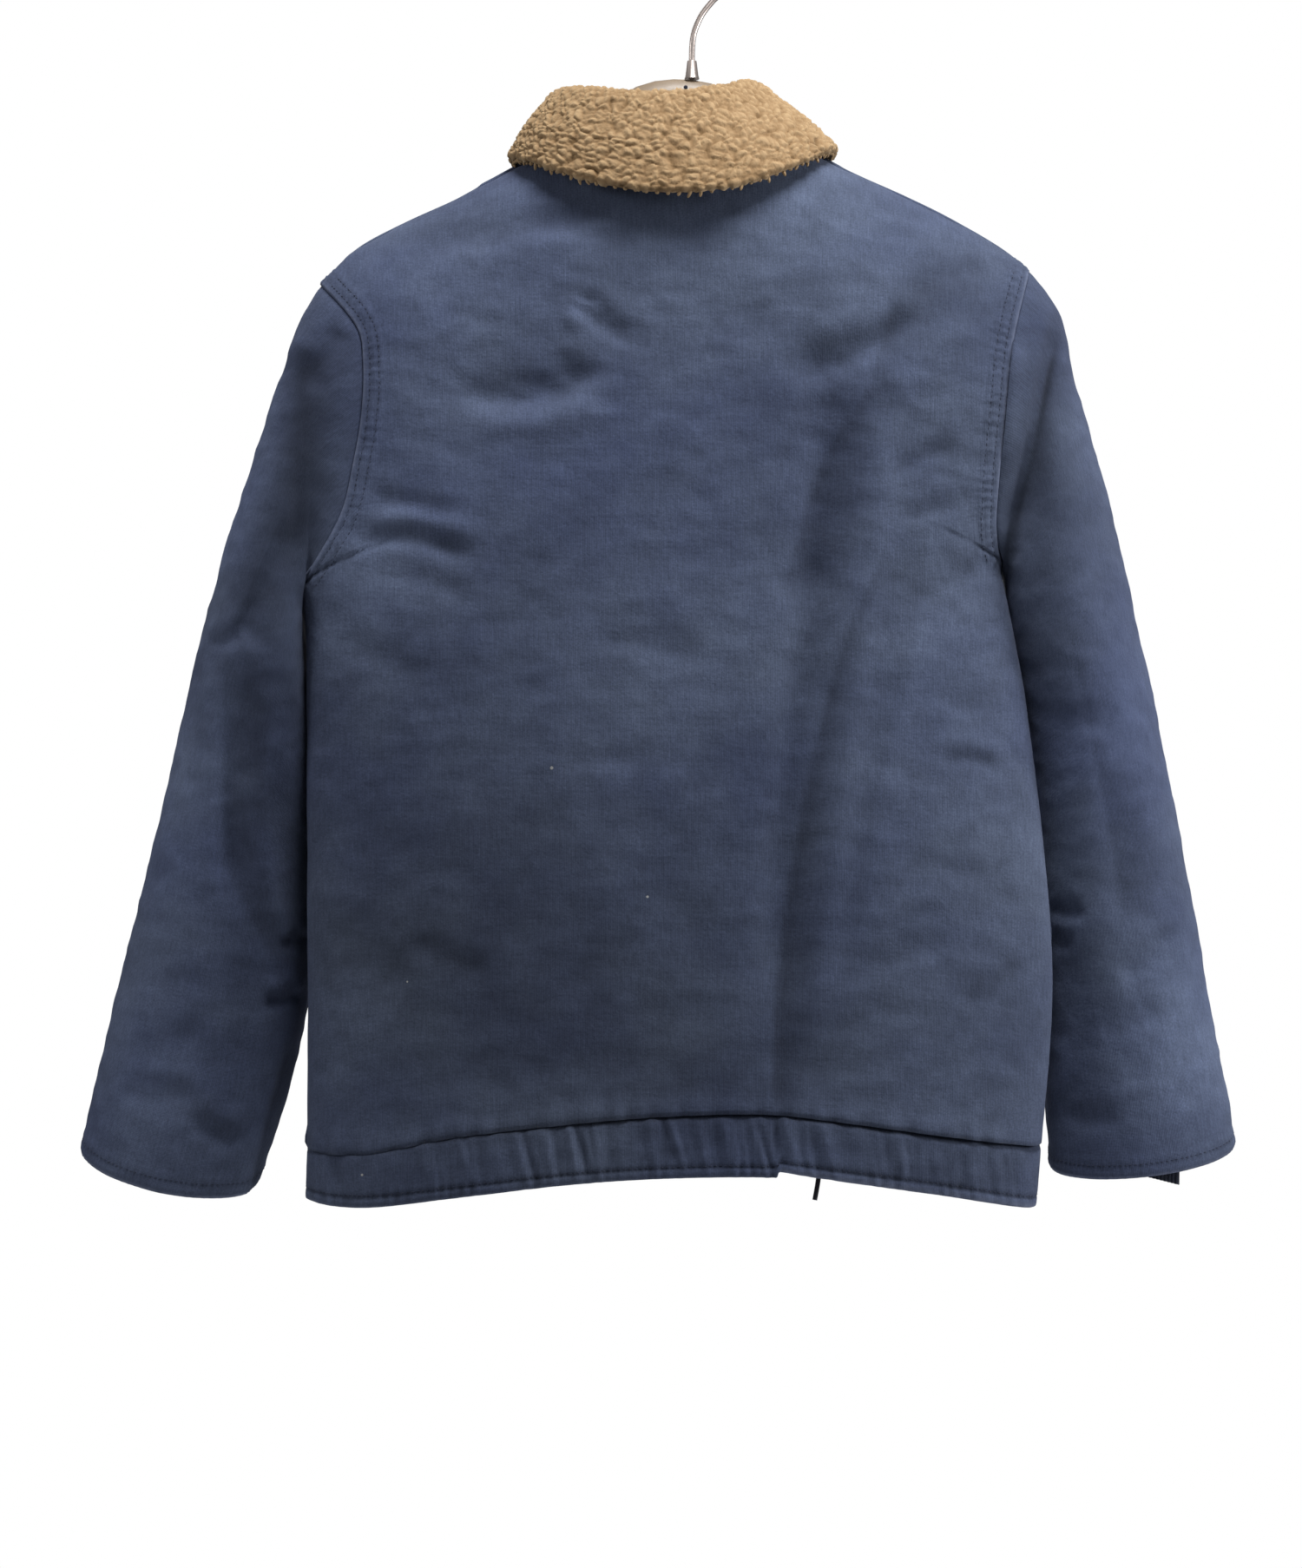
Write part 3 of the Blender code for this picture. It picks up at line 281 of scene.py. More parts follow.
# Patches where the cotton is painted paler or darker, seen from behind: partly fading from wear and washing, and
# partly painted light and shade, such as the lit outer sides of the sleeves and the shaded hollow under the left
# shoulder.
FADING_AND_PAINTED_LIGHT = metres((
    # name, x, z, half width, half height, gain
    ("left shoulder", 165, -240, 55, 40, 0.27),
    ("left blade", 130, -345, 70, 55, 0.32),
    ("inside the left armhole", 198, -400, 30, 50, 0.50),
    ("right shoulder", -170, -240, 40, 40, -0.14),
    ("between the blades", 10, -320, 60, 60, 0.13),
    ("middle of the back", 20, -465, 75, 60, 0.17),
    ("right of the long slope", -150, -520, 45, 120, 0.20),
    ("small of the back", 130, -630, 110, 85, -0.42),
    ("over the hem", 50, -710, 100, 45, -0.32),
    ("left sleeve, hollow", 240, -345, 13, 80, -0.32),
    ("left sleeve, inner side", 262, -545, 16, 110, -0.10),
    ("left sleeve, outer side", 320, -540, 32, 130, 0.58),
    ("left cuff", 340, -720, 40, 50, 0.46),
    ("right sleeve, upper", -215, -350, 22, 90, -0.36),
    ("right elbow", -258, -510, 40, 80, 0.68),
    ("right forearm", -290, -700, 50, 80, 0.78),
), plain=[5])
# Painted shadows beside folds that turn away sharply and come back softly: dark on the side of the wearer's
# right, with a faint painted highlight on the other side; a negative depth swaps them.
FOLD_SHADOW_EDGES = metres((
    # piece, width of the sharp side, reach of the soft side, depth, then z and x down the line
    ("back", 6, 24, 0.22, ((-227.2, -125), (-298.2, -107.1), (-349.6, -76.9), (-435, -53))),
    ("back", 5.5, 17, 0.34, (
        (-395, -119), (-457.1, -91.2), (-531.9, -72.2), (-602.4, -58.4), (-662.8, -51.5), (-755, -47.8),
    )),
    ("back", 6, 12, -0.14, ((-370, -145), (-450, -136), (-560, -113), (-650, -101))),
    ("front", 6, 20, 0.18, ((-300, 105), (-420, 112), (-560, 104), (-720, 86))),
    ("front", 6, 20, 0.16, ((-310, -95), (-450, -80), (-600, -83), (-730, -98))),
    ("sleeve_left", 4, 12, -0.85, (
        (-250, 250), (-293.5, 259), (-336.6, 273), (-379.7, 284.9), (-430, 299),
    )),
    ("sleeve_left", 22, 26, 0.45, (
        (-260, 244), (-293.5, 248.2), (-336.6, 254.5), (-358.1, 257.5), (-379.7, 264), (-401.3, 273),
        (-450, 286),
    )),
    ("sleeve_left", 7, 30, 0.20, (
        (-460, 278), (-480, 274.5), (-531.9, 285.6), (-597.6, 282.1), (-660, 252),
    )),
    ("sleeve_left", 6, 12, -0.16, ((-490, 256), (-550, 262), (-630, 254))),
    ("sleeve_left", 4.5, 12, 0.42, ((-695, 247), (-721.6, 253), (-753.4, 262.2), (-820, 277))),
    ("sleeve_right", 7, 30, -0.26, ((-240, -234), (-302.9, -217.6), (-349.6, -204.5), (-420, -194.5))),
    ("sleeve_right", 5, 7, 0.45, (
        (-265, -222), (-304.2, -214), (-347.4, -205), (-390.5, -192.5), (-430, -184),
    )),
    ("sleeve_right", 6, 20, 0.20, ((-440, -225), (-520, -242), (-590, -256), (-640, -260))),
), plain=[3])
# Pleats of the band's back, where its gathers are pressed flat: where each meets the seam and the edge.
BAND_PLEATS = metres((
    # x at the seam, x at the edge, half width, depth
    (221.2, 214.8, 4, 0.9),
    (147.6, 136, 3, 1.4),
    (127, 119.6, 3.2, 1),
    (104.8, 94.2, 3, 1.5),
    (71.9, 61.9, 2.6, 2),
    (52.4, 49.7, 3.4, 0.9),
    (30.7, 25.9, 3, 1.2),
    (18.5, 6.3, 2.6, 1.8),
    (-12.7, -17.5, 3.2, 1.1),
    (-38.7, -48.2, 2.6, 2),
    (-52.5, -48.5, 2.4, 1.2),
    (-65.1, -66.7, 3, 1.1),
    (-105.9, -108, 4, 0.9),
    (-133.4, -134.5, 4.4, 1),
    (-165.7, -167.3, 4.4, 1.1),
    (-193.2, -191.7, 5.5, 1.3),
))
BAND_TUCK = 0.0042  # how far the band runs up under the back's edge
BAND_STEP_X, BAND_STEP = -0.0522, 0.0040  # the band's edge steps up here, and runs out again to the right
BACK_PLANE_Y = 0.066
MIDDLE = (0.0259, -0.543)  # x and z of the camera
CAMERA_Y, CAMERA_LENS = 1.75, 63.4
FOLD_EDGE_RELIEF = 0.0030  # metres of relief for each unit of a sharp fold's tone
FOLD_GAIN = 1.25  # the folds are cut a little sharper than the solids have them

# Seams and stitches.
STITCH_LENGTH, STITCH_PITCH, STITCH_THICK = 0.0024, 0.0033, 0.00055
ARMHOLE_ROWS_OF_STITCHES = (0.0045, 0.0105)  # from the seam, on the body's side
CUFF_STITCHES_UP = 0.0070
BAND_STITCHES_UP = 0.0065
ZIP_STITCHES_OUT = 0.0045
PUCKER = 0.0056
LAP_WIDTH, LAP_HEIGHT = 0.0115, 0.0009  # of the body's cloth beside the armhole seam
GROOVE, HEAVY_GROOVE = 0.0012, 0.0013  # half widths of the groove that a row of stitches presses
SLEEVE_LENGTH, SLEEVE_GIRTH = 0.615, 0.36
SLEEVE_SEAM = 0.512  # share of the way round, just behind the inner edge

# The zip.
SEAM_GAP = 0.0003
SLIDER_Z = -0.2280
TOOTH_PITCH, TOOTH_LENGTH = 0.0024, 0.0028
TOOTH_THIN, TOOTH_THICK = 0.00082, 0.00105

# The weave, and where each piece's noise starts.
RIB_PITCH, PICK_PITCH = 0.00085, 0.00062
SEEDS = {
    "back": 1.0, "front_left": 5.0, "front_right": 8.0, "band": 11.0, "sleeve_left": 21.0, "sleeve_right": 34.0,
}

# How finely each piece of cloth is cut up: columns and rows.
GRIDS = {
    "back": (168, 250), "front": (84, 200), "sleeve": (150, 186), "backing": (150, 72), "pile": (460, 206),
}
BAND_GRID_ROWS = 26


# Reading the tables.


def along(rows, at, column):
    """Values of a table's column where its first column is `at`, on a smooth curve through the rows."""
    rows = sorted(rows)
    keys = np.array([row[0] for row in rows], float)
    values = np.array([row[column] for row in rows], float)
    at = np.clip(at, keys[0], keys[-1])
    i = np.clip(np.searchsorted(keys, at, side="right") - 1, 0, len(keys) - 2)
    slopes = np.gradient(values, keys)
    slopes[1:-1] = (values[2:] - values[:-2]) / (keys[2:] - keys[:-2])
    span = keys[i + 1] - keys[i]
    t = (at - keys[i]) / span
    return (
        (2 * t**3 - 3 * t**2 + 1) * values[i]
        + (t**3 - 2 * t**2 + t) * slopes[i] * span
        + (3 * t**2 - 2 * t**3) * values[i + 1]
        + (t**3 - t**2) * slopes[i + 1] * span
    )


def blend(a, b, t):
    """From a to b as t goes from 0 to 1."""
    return a + (b - a) * t


def smooth(t):
    """From 0 to 1 with soft ends."""
    t = np.clip(t, 0, 1)
    return t * t * (3 - 2 * t)


def hump(away, width):
    """A rounded hump: 1 where `away` is nought, and soon nothing beyond the width."""
    return np.exp(-((away / width) ** 2))


def rounding(t):
    """The rise of a quarter circle from 0 to 1."""
    return np.sqrt(np.clip(1 - (1 - np.clip(t, 0, 1)) ** 2, 0, 1))


def points_of(x, y, z):
    """An array of points."""
    return np.stack(np.broadcast_arrays(x, y, z), axis=-1).astype(float)


# The body's form.


def shoulder_z(x):
    """The ridge that runs from the neck over the shoulders."""
    away = x - CENTRE_X
    return np.where(away > 0, along(SHOULDER_ROWS, np.abs(away), 1), along(SHOULDER_ROWS, np.abs(away), 2))


def fold_height(folds, x, z):
    """The sum of the soft folds at points seen from behind."""
    total = np.zeros(len(x))
    t = np.linspace(0, 1, 25)
    for _, x0, z0, x1, z1, x2, z2, half, height, lean in folds:
        reach = 3.2 * half
        near = (
            (x > min(x0, x1, x2) - reach) & (x < max(x0, x1, x2) + reach)
            & (z > min(z0, z1, z2) - reach) & (z < max(z0, z1, z2) + reach)
        )
        if not near.any():
            continue
        line_x = (1 - t) ** 2 * x0 + 2 * t * (1 - t) * x1 + t * t * x2
        line_z = (1 - t) ** 2 * z0 + 2 * t * (1 - t) * z1 + t * t * z2
        dx, dz = x[near, None] - line_x, z[near, None] - line_z
        k = np.hypot(dx, dz).argmin(1)
        row = np.arange(len(k))
        dx, dz = dx[row, k], dz[row, k]
        tangent_x, tangent_z = np.gradient(line_x, t)[k], np.gradient(line_z, t)[k]
        speed = np.hypot(tangent_x, tangent_z)
        share = t[k] + (dx * tangent_x + dz * tangent_z) / speed**2
        aside = (dx * tangent_z - dz * tangent_x) / speed
        fade = smooth(share / 0.25) * smooth((1 - share) / 0.25)
        width = half * (1 + lean * np.tanh(2 * aside / half))
        total[near] += height * fade * hump(aside, width)
    return total


def lined_up(at):
    """x and z of the points of the back's plane that points line up with in the photo's view. The tables of
    folds, of fading and painted light and shade, and of painted fold shadows are measured on that plane."""
    share = (CAMERA_Y - BACK_PLANE_Y) / (CAMERA_Y - at[:, 1])
    return MIDDLE[0] + (at[:, 0] - MIDDLE[0]) * share, MIDDLE[1] + (at[:, 2] - MIDDLE[1]) * share


def side_x(z, on_left):
    """x of the body's side seams."""
    return np.where(on_left, along(BODY_ROWS, z, 1), along(BODY_ROWS, z, 2))


def body_y(x, z, face, folded=True):
    """How far back (+1) or front (-1) the body's outer face is at points seen from behind."""
    side = side_x(z, x > CENTRE_X)
    across = np.minimum(np.abs((x - CENTRE_X) / (side - CENTRE_X)), 1)
    round_side = (1 - across**SIDE_POWER) ** (1 / SIDE_POWER)
    round_top = rounding((shoulder_z(x) - z) / SHOULDER_ROUND)
    depth = along(BODY_ROWS, z, 3 if face > 0 else 4)
    if folded:
        depth = depth + FOLD_GAIN * fold_height(BODY_FOLDS[face], x, z)
    return face * round_side * round_top * depth


def seam_y(x, z, behind):
    """The same without folds, at the back where `behind` holds and else at the front, for the seams."""
    return np.where(behind, body_y(x, z, 1, folded=False), body_y(x, z, -1, folded=False))


def armhole(side, share):
    """The armhole seam from the shoulder tip (0) to the armpit (1), seen from behind."""
    column = 1 if side == "left" else 3
    tip_x, tip_z = ARMHOLE_ROWS[0][column], ARMHOLE_ROWS[0][column + 1]
    to_ridge = (shoulder_z(np.array([tip_x]))[0] - tip_z) * (1 - smooth(share / 0.15))
    return along(ARMHOLE_ROWS, share, column), along(ARMHOLE_ROWS, share, column + 1) + to_ridge


def neck(turn):
    """The neck seam seen from behind, at angles from the centre back towards the wearer's left."""
    away = np.sin(turn)
    x = CENTRE_X + NECK_HALF * away
    left, right = shoulder_z(np.array([CENTRE_X + NECK_HALF, CENTRE_X - NECK_HALF]))
    near, far = np.where(away > 0, left, right), np.where(away > 0, right, left)
    ridge = blend((near + far) / 2, near, smooth(np.abs(away)))
    drop = np.where(np.cos(turn) > 0, NECK_DROP_BACK, NECK_DROP_FRONT)
    return x, ridge - drop * np.abs(np.cos(turn)) ** 1.6


def hem_z(x, column):
    """The hem's seam (column 1) or the band's lower edge (column 2)."""
    return along(HEM_ROWS, x - CENTRE_X, column)


def side_edge(side, v):
    """The body's edge at one side: the side seam up to the armpit, then the armhole seam."""
    armpit_x, armpit_z = armhole(side, np.array([1.0]))
    z = blend(hem_z(armpit_x, 1), armpit_z, v / ARMPIT_AT)
    arm_x, arm_z = armhole(side, 1 - (v - ARMPIT_AT) / (1 - ARMPIT_AT))
    low = v < ARMPIT_AT
    return np.where(low, side_x(z, side == "left"), arm_x), np.where(low, z, arm_z)


def top_edge(u, face):
    """The panel's upper edge over the whole width: left shoulder, neck, right shoulder."""
    shoulder = 0.5 - NECK_SHARE / 2
    left_x = blend(armhole("left", np.array([0.0]))[0], CENTRE_X + NECK_HALF, u / shoulder)
    right_x = blend(armhole("right", np.array([0.0]))[0], CENTRE_X - NECK_HALF, (1 - u) / shoulder)
    turn = np.arcsin(np.clip((0.5 - u) / (NECK_SHARE / 2), -1, 1))
    neck_x, neck_z = neck(turn if face > 0 else math.pi - turn)
    places = [u < shoulder, u > 1 - shoulder]
    return (
        np.select(places, [left_x, right_x], neck_x),
        np.select(places, [shoulder_z(left_x), shoulder_z(right_x)], neck_z),
    )


def body_patch(u, v, face):
    """Points of the body seen from behind, filled in between its four edges. u runs from left to right."""
    nought, one = np.zeros(1), np.ones(1)
    left_low, right_low = side_edge("left", nought)[0], side_edge("right", nought)[0]
    sides = side_edge("left", v), side_edge("right", v)

    def low(u):
        x = blend(left_low, right_low, u)
        return x, hem_z(x, 1)

    def fill(u, k):
        lift_low = low(u)[k] - blend(low(nought)[k], low(one)[k], u)
        lift_top = top_edge(u, face)[k] - blend(top_edge(nought, face)[k], top_edge(one, face)[k], u)
        return blend(lift_low, lift_top, v) + blend(sides[0][k], sides[1][k], u)

    to_centre = CENTRE_X - fill(np.full(len(u), 0.5), 0)
    return fill(u, 0) + to_centre * (1 - np.abs(2 * u - 1)), fill(u, 1)


def nearest(line, at):
    """Distance from each point to a polyline in space, and how far along the line that is, in metres."""
    best, where = np.full(len(at), 1e9), np.zeros(len(at))
    run = 0.0
    for a, b in zip(line[:-1], line[1:]):
        step = b - a
        length = np.linalg.norm(step)
        t = np.clip((at - a) @ step / length**2, 0, 1)
        away = np.linalg.norm(at - a - t[:, None] * step, axis=1)
        closer = away < best
        best[closer] = away[closer]
        where[closer] = run + t[closer] * length
        run += length
    return best, where


def crumple(at, size, seed, ridged=False):
    """Soft uneven wrinkles, as noise stretched a little across the body."""
    shift = Vector((17.3 * seed, 5.1 * seed, 9.7 * seed))
    stretch = Vector((0.7 / size, 1.0 / size, 1.25 / size))
    found = np.array([noise.noise(Vector(p) * stretch + shift) for p in at])
    return (0.5 - 2 * np.abs(found)) if ridged else 2 * found


def cloth_wrinkles(at, seed):
    """The fine unevenness that washed cotton has all over."""
    return (
        0.00070 * crumple(at, 0.060, seed)
        + 0.00060 * crumple(at, 0.027, seed + 1, ridged=True)
        + 0.00024 * crumple(at, 0.011, seed + 2)
    )


def cloth_tone(at, relief, seed):
    """How pale the cotton is: patches of fading mixed with painted light and shade, crests painted paler and
    hollows darker as painted light and shade, and small blotches.
    """
    # painted light on the folds' crests and painted shade in their hollows
    tone = 1.0 + 0.15 * np.tanh(relief / 0.0030)
    seen_x, seen_z = lined_up(at)
    # patches of fading together with painted light and shade
    for _, x, z, half_x, half_z, gain in FADING_AND_PAINTED_LIGHT:
        tone += gain * np.exp(-(((seen_x - x) / half_x) ** 2) - ((seen_z - z) / half_z) ** 2)
    return tone + 0.06 * crumple(at, 0.040, seed + 5) + 0.03 * crumple(at, 0.014, seed + 6)


def fold_edge_shadows(piece, at):
    """Painted shadows and highlights beside the sharp folds: how much darker or paler the cloth is painted there.
    """
    total = np.zeros(len(at))
    x, z = lined_up(at)
    for where, sharp, soft, depth, line in FOLD_SHADOW_EDGES:
        if where != piece:
            continue
        away = along(line, z, 1) - x
        dark = smooth(away / sharp + 0.5) * np.exp(-np.maximum(away, 0) / soft)
        lit = 0.3 * hump(away / sharp + 1, 1)
        ends = smooth((z - line[-1][0]) / 0.025) * smooth((line[0][0] - z) / 0.025)
        total += depth * ends * (lit - dark)
    return total


# Making pieces.


def sheet(name, columns, rows, form, finish, wall, look, spread=None, offset=-1):
    """A grid laid over form(u, v), which gives points. finish(u, v, points) gives heights along the normal,
    cloth coordinates and named marks for the material. A form that meets itself becomes a tube."""
    shape = bmesh.new()
    bmesh.ops.create_grid(shape, x_segments=columns, y_segments=rows, size=0.5)
    mesh = bpy.data.meshes.new(name)
    shape.to_mesh(mesh)
    shape.free()
    flat = np.empty(len(mesh.vertices) * 3)
    mesh.vertices.foreach_get("co", flat)
    u, v = flat.reshape(-1, 3)[:, 0] + 0.5, flat.reshape(-1, 3)[:, 1] + 0.5
    if spread:
        u, v = spread(u, v)
    at = form(u, v)
    step = 2e-4
    across = form(u + step, v) - form(u - step, v)
    up = form(u, v + step) - form(u, v - step)
    normal = np.cross(across, up)
    normal /= np.maximum(np.linalg.norm(normal, axis=1, keepdims=True), 1e-12)
    height, cloth, marks = finish(u, v, at)
    mesh.vertices.foreach_set("co", (at + normal * height[:, None]).ravel())
    lay_cloth(mesh, cloth)
    for mark, values in marks.items():
        mesh.attributes.new(mark, "FLOAT", "POINT").data.foreach_set("value", values.astype(np.float32))
    shape = bmesh.new()
    shape.from_mesh(mesh)
    bmesh.ops.remove_doubles(shape, verts=shape.verts, dist=1e-6)
    made = into_scene(name, shape, look, mesh)
    if wall:
        thick = made.modifiers.new("Thickness", "SOLIDIFY")
        thick.thickness = wall
        thick.offset = offset
    return made


def linked(name, data):
    """A new object in the scene."""
    made = bpy.data.objects.new(name, data)
    bpy.context.scene.collection.objects.link(made)
    return made


def into_scene(name, shape, look, mesh=None, corner=None):
    """Turns a bmesh into a piece, shaded as curved but for edges sharper than `corner` degrees."""
    for part in shape.faces:
        part.smooth = True
    if corner:
        for edge in shape.edges:
            edge.smooth = edge.calc_face_angle(math.pi) < math.radians(corner)
    mesh = mesh or bpy.data.meshes.new(name)
    shape.to_mesh(mesh)
    shape.free()
    mesh.materials.append(look)
    return linked(name, mesh)


def lay_cloth(mesh, cloth):
    """Gives a mesh cloth coordinates in metres, which weave and stitches follow."""
    corner = np.empty(len(mesh.loops), np.int32)
    mesh.loops.foreach_get("vertex_index", corner)
    mesh.uv_layers.new(name="cloth").data.foreach_set("uv", cloth[corner].astype(np.float32).ravel())


def place(piece, slot, *nodes, body="jacket"):
    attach(piece, body)
    if nodes:
        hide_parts(*nodes)
    return piece


# Stitches.


def spaced(line, pitch):
    """Points a pitch apart along a line."""
    steps = np.linalg.norm(np.diff(line, axis=0), axis=1)
    run = np.concatenate([[0], np.cumsum(steps)])
    places = np.arange(0, run[-1], pitch)
    return np.stack([np.interp(places, run, line[:, k]) for k in range(3)], axis=1)


def stitches(name, rows, look):
    """Thread that shows along rows of points, each with the cloth that it is sewn through."""
    shape = bmesh.new()
    size = Matrix.Diagonal((STITCH_LENGTH / 2, STITCH_THICK / 2, STITCH_THICK / 2, 1))
    for carrier, line in rows:
        cloth = bmesh.new()
        cloth.from_mesh(carrier.data)
        surface = BVHTree.FromBMesh(cloth)
        dots = [Vector(dot) for dot in spaced(line, STITCH_PITCH)]
        for before, after in zip(dots[:-1], dots[1:]):
            at, outwards, _, away = surface.find_nearest((before + after) / 2)
            if away > 0.012:
                continue
            run = (after - before).normalized()
            side = outwards.cross(run).normalized()
            turn = Matrix((run, side, run.cross(side))).transposed().to_4x4()
            where = Matrix.Translation(at + outwards * STITCH_THICK * 0.15) @ turn @ size
            bmesh.ops.create_icosphere(shape, subdivisions=1, radius=1.0, matrix=where)
        cloth.free()
    return place(into_scene(name, shape, look), "navy_cloth")


def armhole_row(side, face, inwards):
    """A row beside the armhole seam, on the body."""
    x, z = armhole(side, np.linspace(0.03, 0.975, 90))
    run_x, run_z = np.gradient(x), np.gradient(z)
    length = np.hypot(run_x, run_z)
    sign = -SIDES[side]
    towards = np.where(run_z * sign > 0, inwards, -inwards) / length
    x, z = x + towards * run_z, z - towards * run_x
    return points_of(x, body_y(x, z, face), z)


def sew(cloths, look):
    """All the topstitching: round armholes and cuffs, along the band's edge and beside the zip."""
    rows = []
    for side in SIDES:
        for face, carrier in ((1, cloths["back"]), (-1, cloths["front_" + side])):
            rows += [(carrier, armhole_row(side, face, inwards)) for inwards in ARMHOLE_ROWS_OF_STITCHES]
        z = np.linspace(neck(np.array([math.pi]))[1][0] - 0.012, hem_z(np.array([CENTRE_X]), 1)[0] + 0.004, 80)
        x = CENTRE_X + SIDES[side] * (ZIP_HALF + ZIP_STITCHES_OUT) + 0 * z
        rows.append((cloths["front_" + side], points_of(x, body_y(x, z, -1), z)))
    stitches("body_stitches", rows, look)
    rows = []
    around = np.linspace(0.002, 0.998, 160)
    for side in SIDES:
        up = 0 * around + 1 - CUFF_STITCHES_UP / SLEEVE_LENGTH
        rows.append((cloths["sleeve_" + side], sleeve_form(side)(around, up)))
    stitches("cuff_stitches", rows, look)
    rows = []
    for name, start, end, _, face in BANDS:
        form = band_form(name, start, end, face)
        at = form(around, 0 * around)
        drop = hem_z(at[:, 0], 1) - hem_z(at[:, 0], 2)
        rows.append((cloths[name], form(around, BAND_STITCHES_UP / drop)))
    stitches("band_stitches", rows, look)


# Materials.


class Looks:
    """A material's nodes. A number sets a socket, and another node's output is linked to it."""

    def __init__(self, name):
        self.material = bpy.data.materials.new(name)
        self.material.use_nodes = True
        self.tree = self.material.node_tree
        self.shader = self.tree.nodes["Principled BSDF"]
        self.place = self.node("TexCoord").outputs["Object"]

    def put(self, socket, value):
        if isinstance(value, bpy.types.NodeSocket):
            self.tree.links.new(value, socket)
        else:
            socket.default_value = value

    def node(self, kind, inputs=(), **settings):
        made = self.tree.nodes.new("ShaderNode" + kind)
        for key, value in settings.items():
            setattr(made, key, value)
        for key, value in dict(inputs).items():
            self.put(made.inputs[key], value)
        return made

    def maths(self, operation, a, b=0.0, c=0.0):
        return self.node("Math", {0: a, 1: b, 2: c}, operation=operation).outputs[0]

    def ranged(self, value, low, high, to_low=0.0, to_high=1.0):
        inputs = {"Value": value, "From Min": low, "From Max": high, "To Min": to_low, "To Max": to_high}
        return self.node("MapRange", inputs).outputs[0]

    def mixed(self, share, a, b, blend_type="MIX"):
        made = self.node("Mix", data_type="RGBA", blend_type=blend_type)
        for socket, value in ((made.inputs[0], share), (made.inputs[6], a), (made.inputs[7], b)):
            self.put(socket, value)
        return made.outputs[2]

    def times(self, first, *others):
        for other in others:
            first = self.maths("MULTIPLY", first, other)
        return first

    def shaded(self, tone, shade):
        """A colour made darker or paler by a number."""
        grey = self.node("CombineColor", {0: shade, 1: shade, 2: shade}).outputs[0]
        return self.mixed(1.0, tone, grey, "MULTIPLY")

    def clouds(self, scale, detail=2.0, place=None):
        """Soft noise, in the object's own space or in the place given."""
        inputs = {"Vector": place or self.place, "Scale": scale, "Detail": detail}
        return self.node("TexNoise", inputs).outputs["Fac"]

    def dots(self, scale, feature):
        return self.node("TexVoronoi", {"Vector": self.place, "Scale": scale}, feature=feature).outputs

    def mark(self, name):
        return self.node("Attribute", attribute_name=name).outputs["Fac"]

    def set(self, **values):
        for key, value in values.items():
            self.put(self.shader.inputs[key.replace("_", " ")], value)
        return self.material

    def bumped(self, *layers):
        """Bumps one on another. Each layer is a height, its distance in metres and its strength."""
        normal = None
        for height, distance, strength in layers:
            inputs = {"Height": height, "Distance": distance, "Strength": strength}
            if normal:
                inputs["Normal"] = normal
            normal = self.node("Bump", inputs).outputs[0]
        self.put(self.shader.inputs["Normal"], normal)


def colour(r, g, b):
    """A colour from the 0 to 255 that a screen shows."""
    return tuple(((v / 255 + 0.055) / 1.055) ** 2.4 if v > 10 else v / 255 / 12.92 for v in (r, g, b)) + (1.0,)


def cotton(name, base, worn, thread):
    """Washed close-woven cotton: fine ribs, uneven fading, pale worn edges and a little lint, with the painted
    light and shade that each piece's tone mark carries.
    """
    look = Looks(name)
    cloth = look.node("UVMap", uv_map="cloth").outputs[0]
    warp = look.node("SeparateXYZ", {0: cloth}).outputs
    wobble = look.clouds(90.0, place=cloth)
    ribs = look.maths("SINE", look.maths("MULTIPLY_ADD", warp[0], math.tau / RIB_PITCH, wobble))
    picks = look.maths("SINE", look.maths("MULTIPLY_ADD", warp[1], math.tau / PICK_PITCH, wobble))
    weave = look.maths("MULTIPLY_ADD", ribs, 0.6, look.times(picks, 0.4))
    long = look.node("Mapping", {0: cloth, 3: (1.0, 0.14, 1.0)}).outputs[0]
    slant = look.node("Mapping", {0: look.place, 2: (0, math.radians(22), 0), 3: (0.55, 1.0, 1.0)}).outputs[0]
    streaks = look.clouds(120.0, 6.0, slant)
    shade = look.times(
        look.ranged(look.clouds(850.0, 2.0, cloth), 0.25, 0.75, 0.80, 1.20),
        look.ranged(look.clouds(620.0, 2.0, long), 0.28, 0.72, 0.88, 1.13),
        look.ranged(look.clouds(60.0, 4.0), 0.30, 0.70, 0.92, 1.09),
        look.ranged(streaks, 0.30, 0.70, 0.95, 1.05),
        look.maths("MULTIPLY_ADD", weave, 0.07, 1.0),
        # the tone mark: fading, together with painted light and shade along folds, puckers, grooves and seams
        look.mark("tone"),
    )
    tone = look.shaded(look.mixed(look.ranged(look.clouds(9.0, 4.0), 0.35, 0.68), base, worn), shade)
    rubbed = look.ranged(look.clouds(160.0, 3.0), 0.3, 0.7, 0.25, 1.0)
    tone = look.mixed(look.times(look.mark("wear"), rubbed), tone, thread)
    dots = look.dots(34.0, "F1")
    lint = look.maths("LESS_THAN", dots["Distance"], 0.035)
    some = look.maths("GREATER_THAN", look.node("SeparateColor", {0: dots["Color"]}).outputs[0], 0.86)
    tone = look.mixed(look.times(lint, some, 0.6), tone, colour(178, 178, 172))
    look.bumped(
        (look.clouds(70.0, 4.0), 0.0011, 0.6),
        (streaks, 0.0011, 0.55),
        (look.clouds(420.0, 2.0, cloth), 0.0004, 0.6),
        (weave, 0.00010, 0.6),
    )
    return look.set(
        Base_Color=tone, Roughness=0.92, Sheen_Weight=0.22, Sheen_Roughness=0.55, Specular_IOR_Level=0.18,
        Sheen_Tint=colour(150, 160, 190),
    )


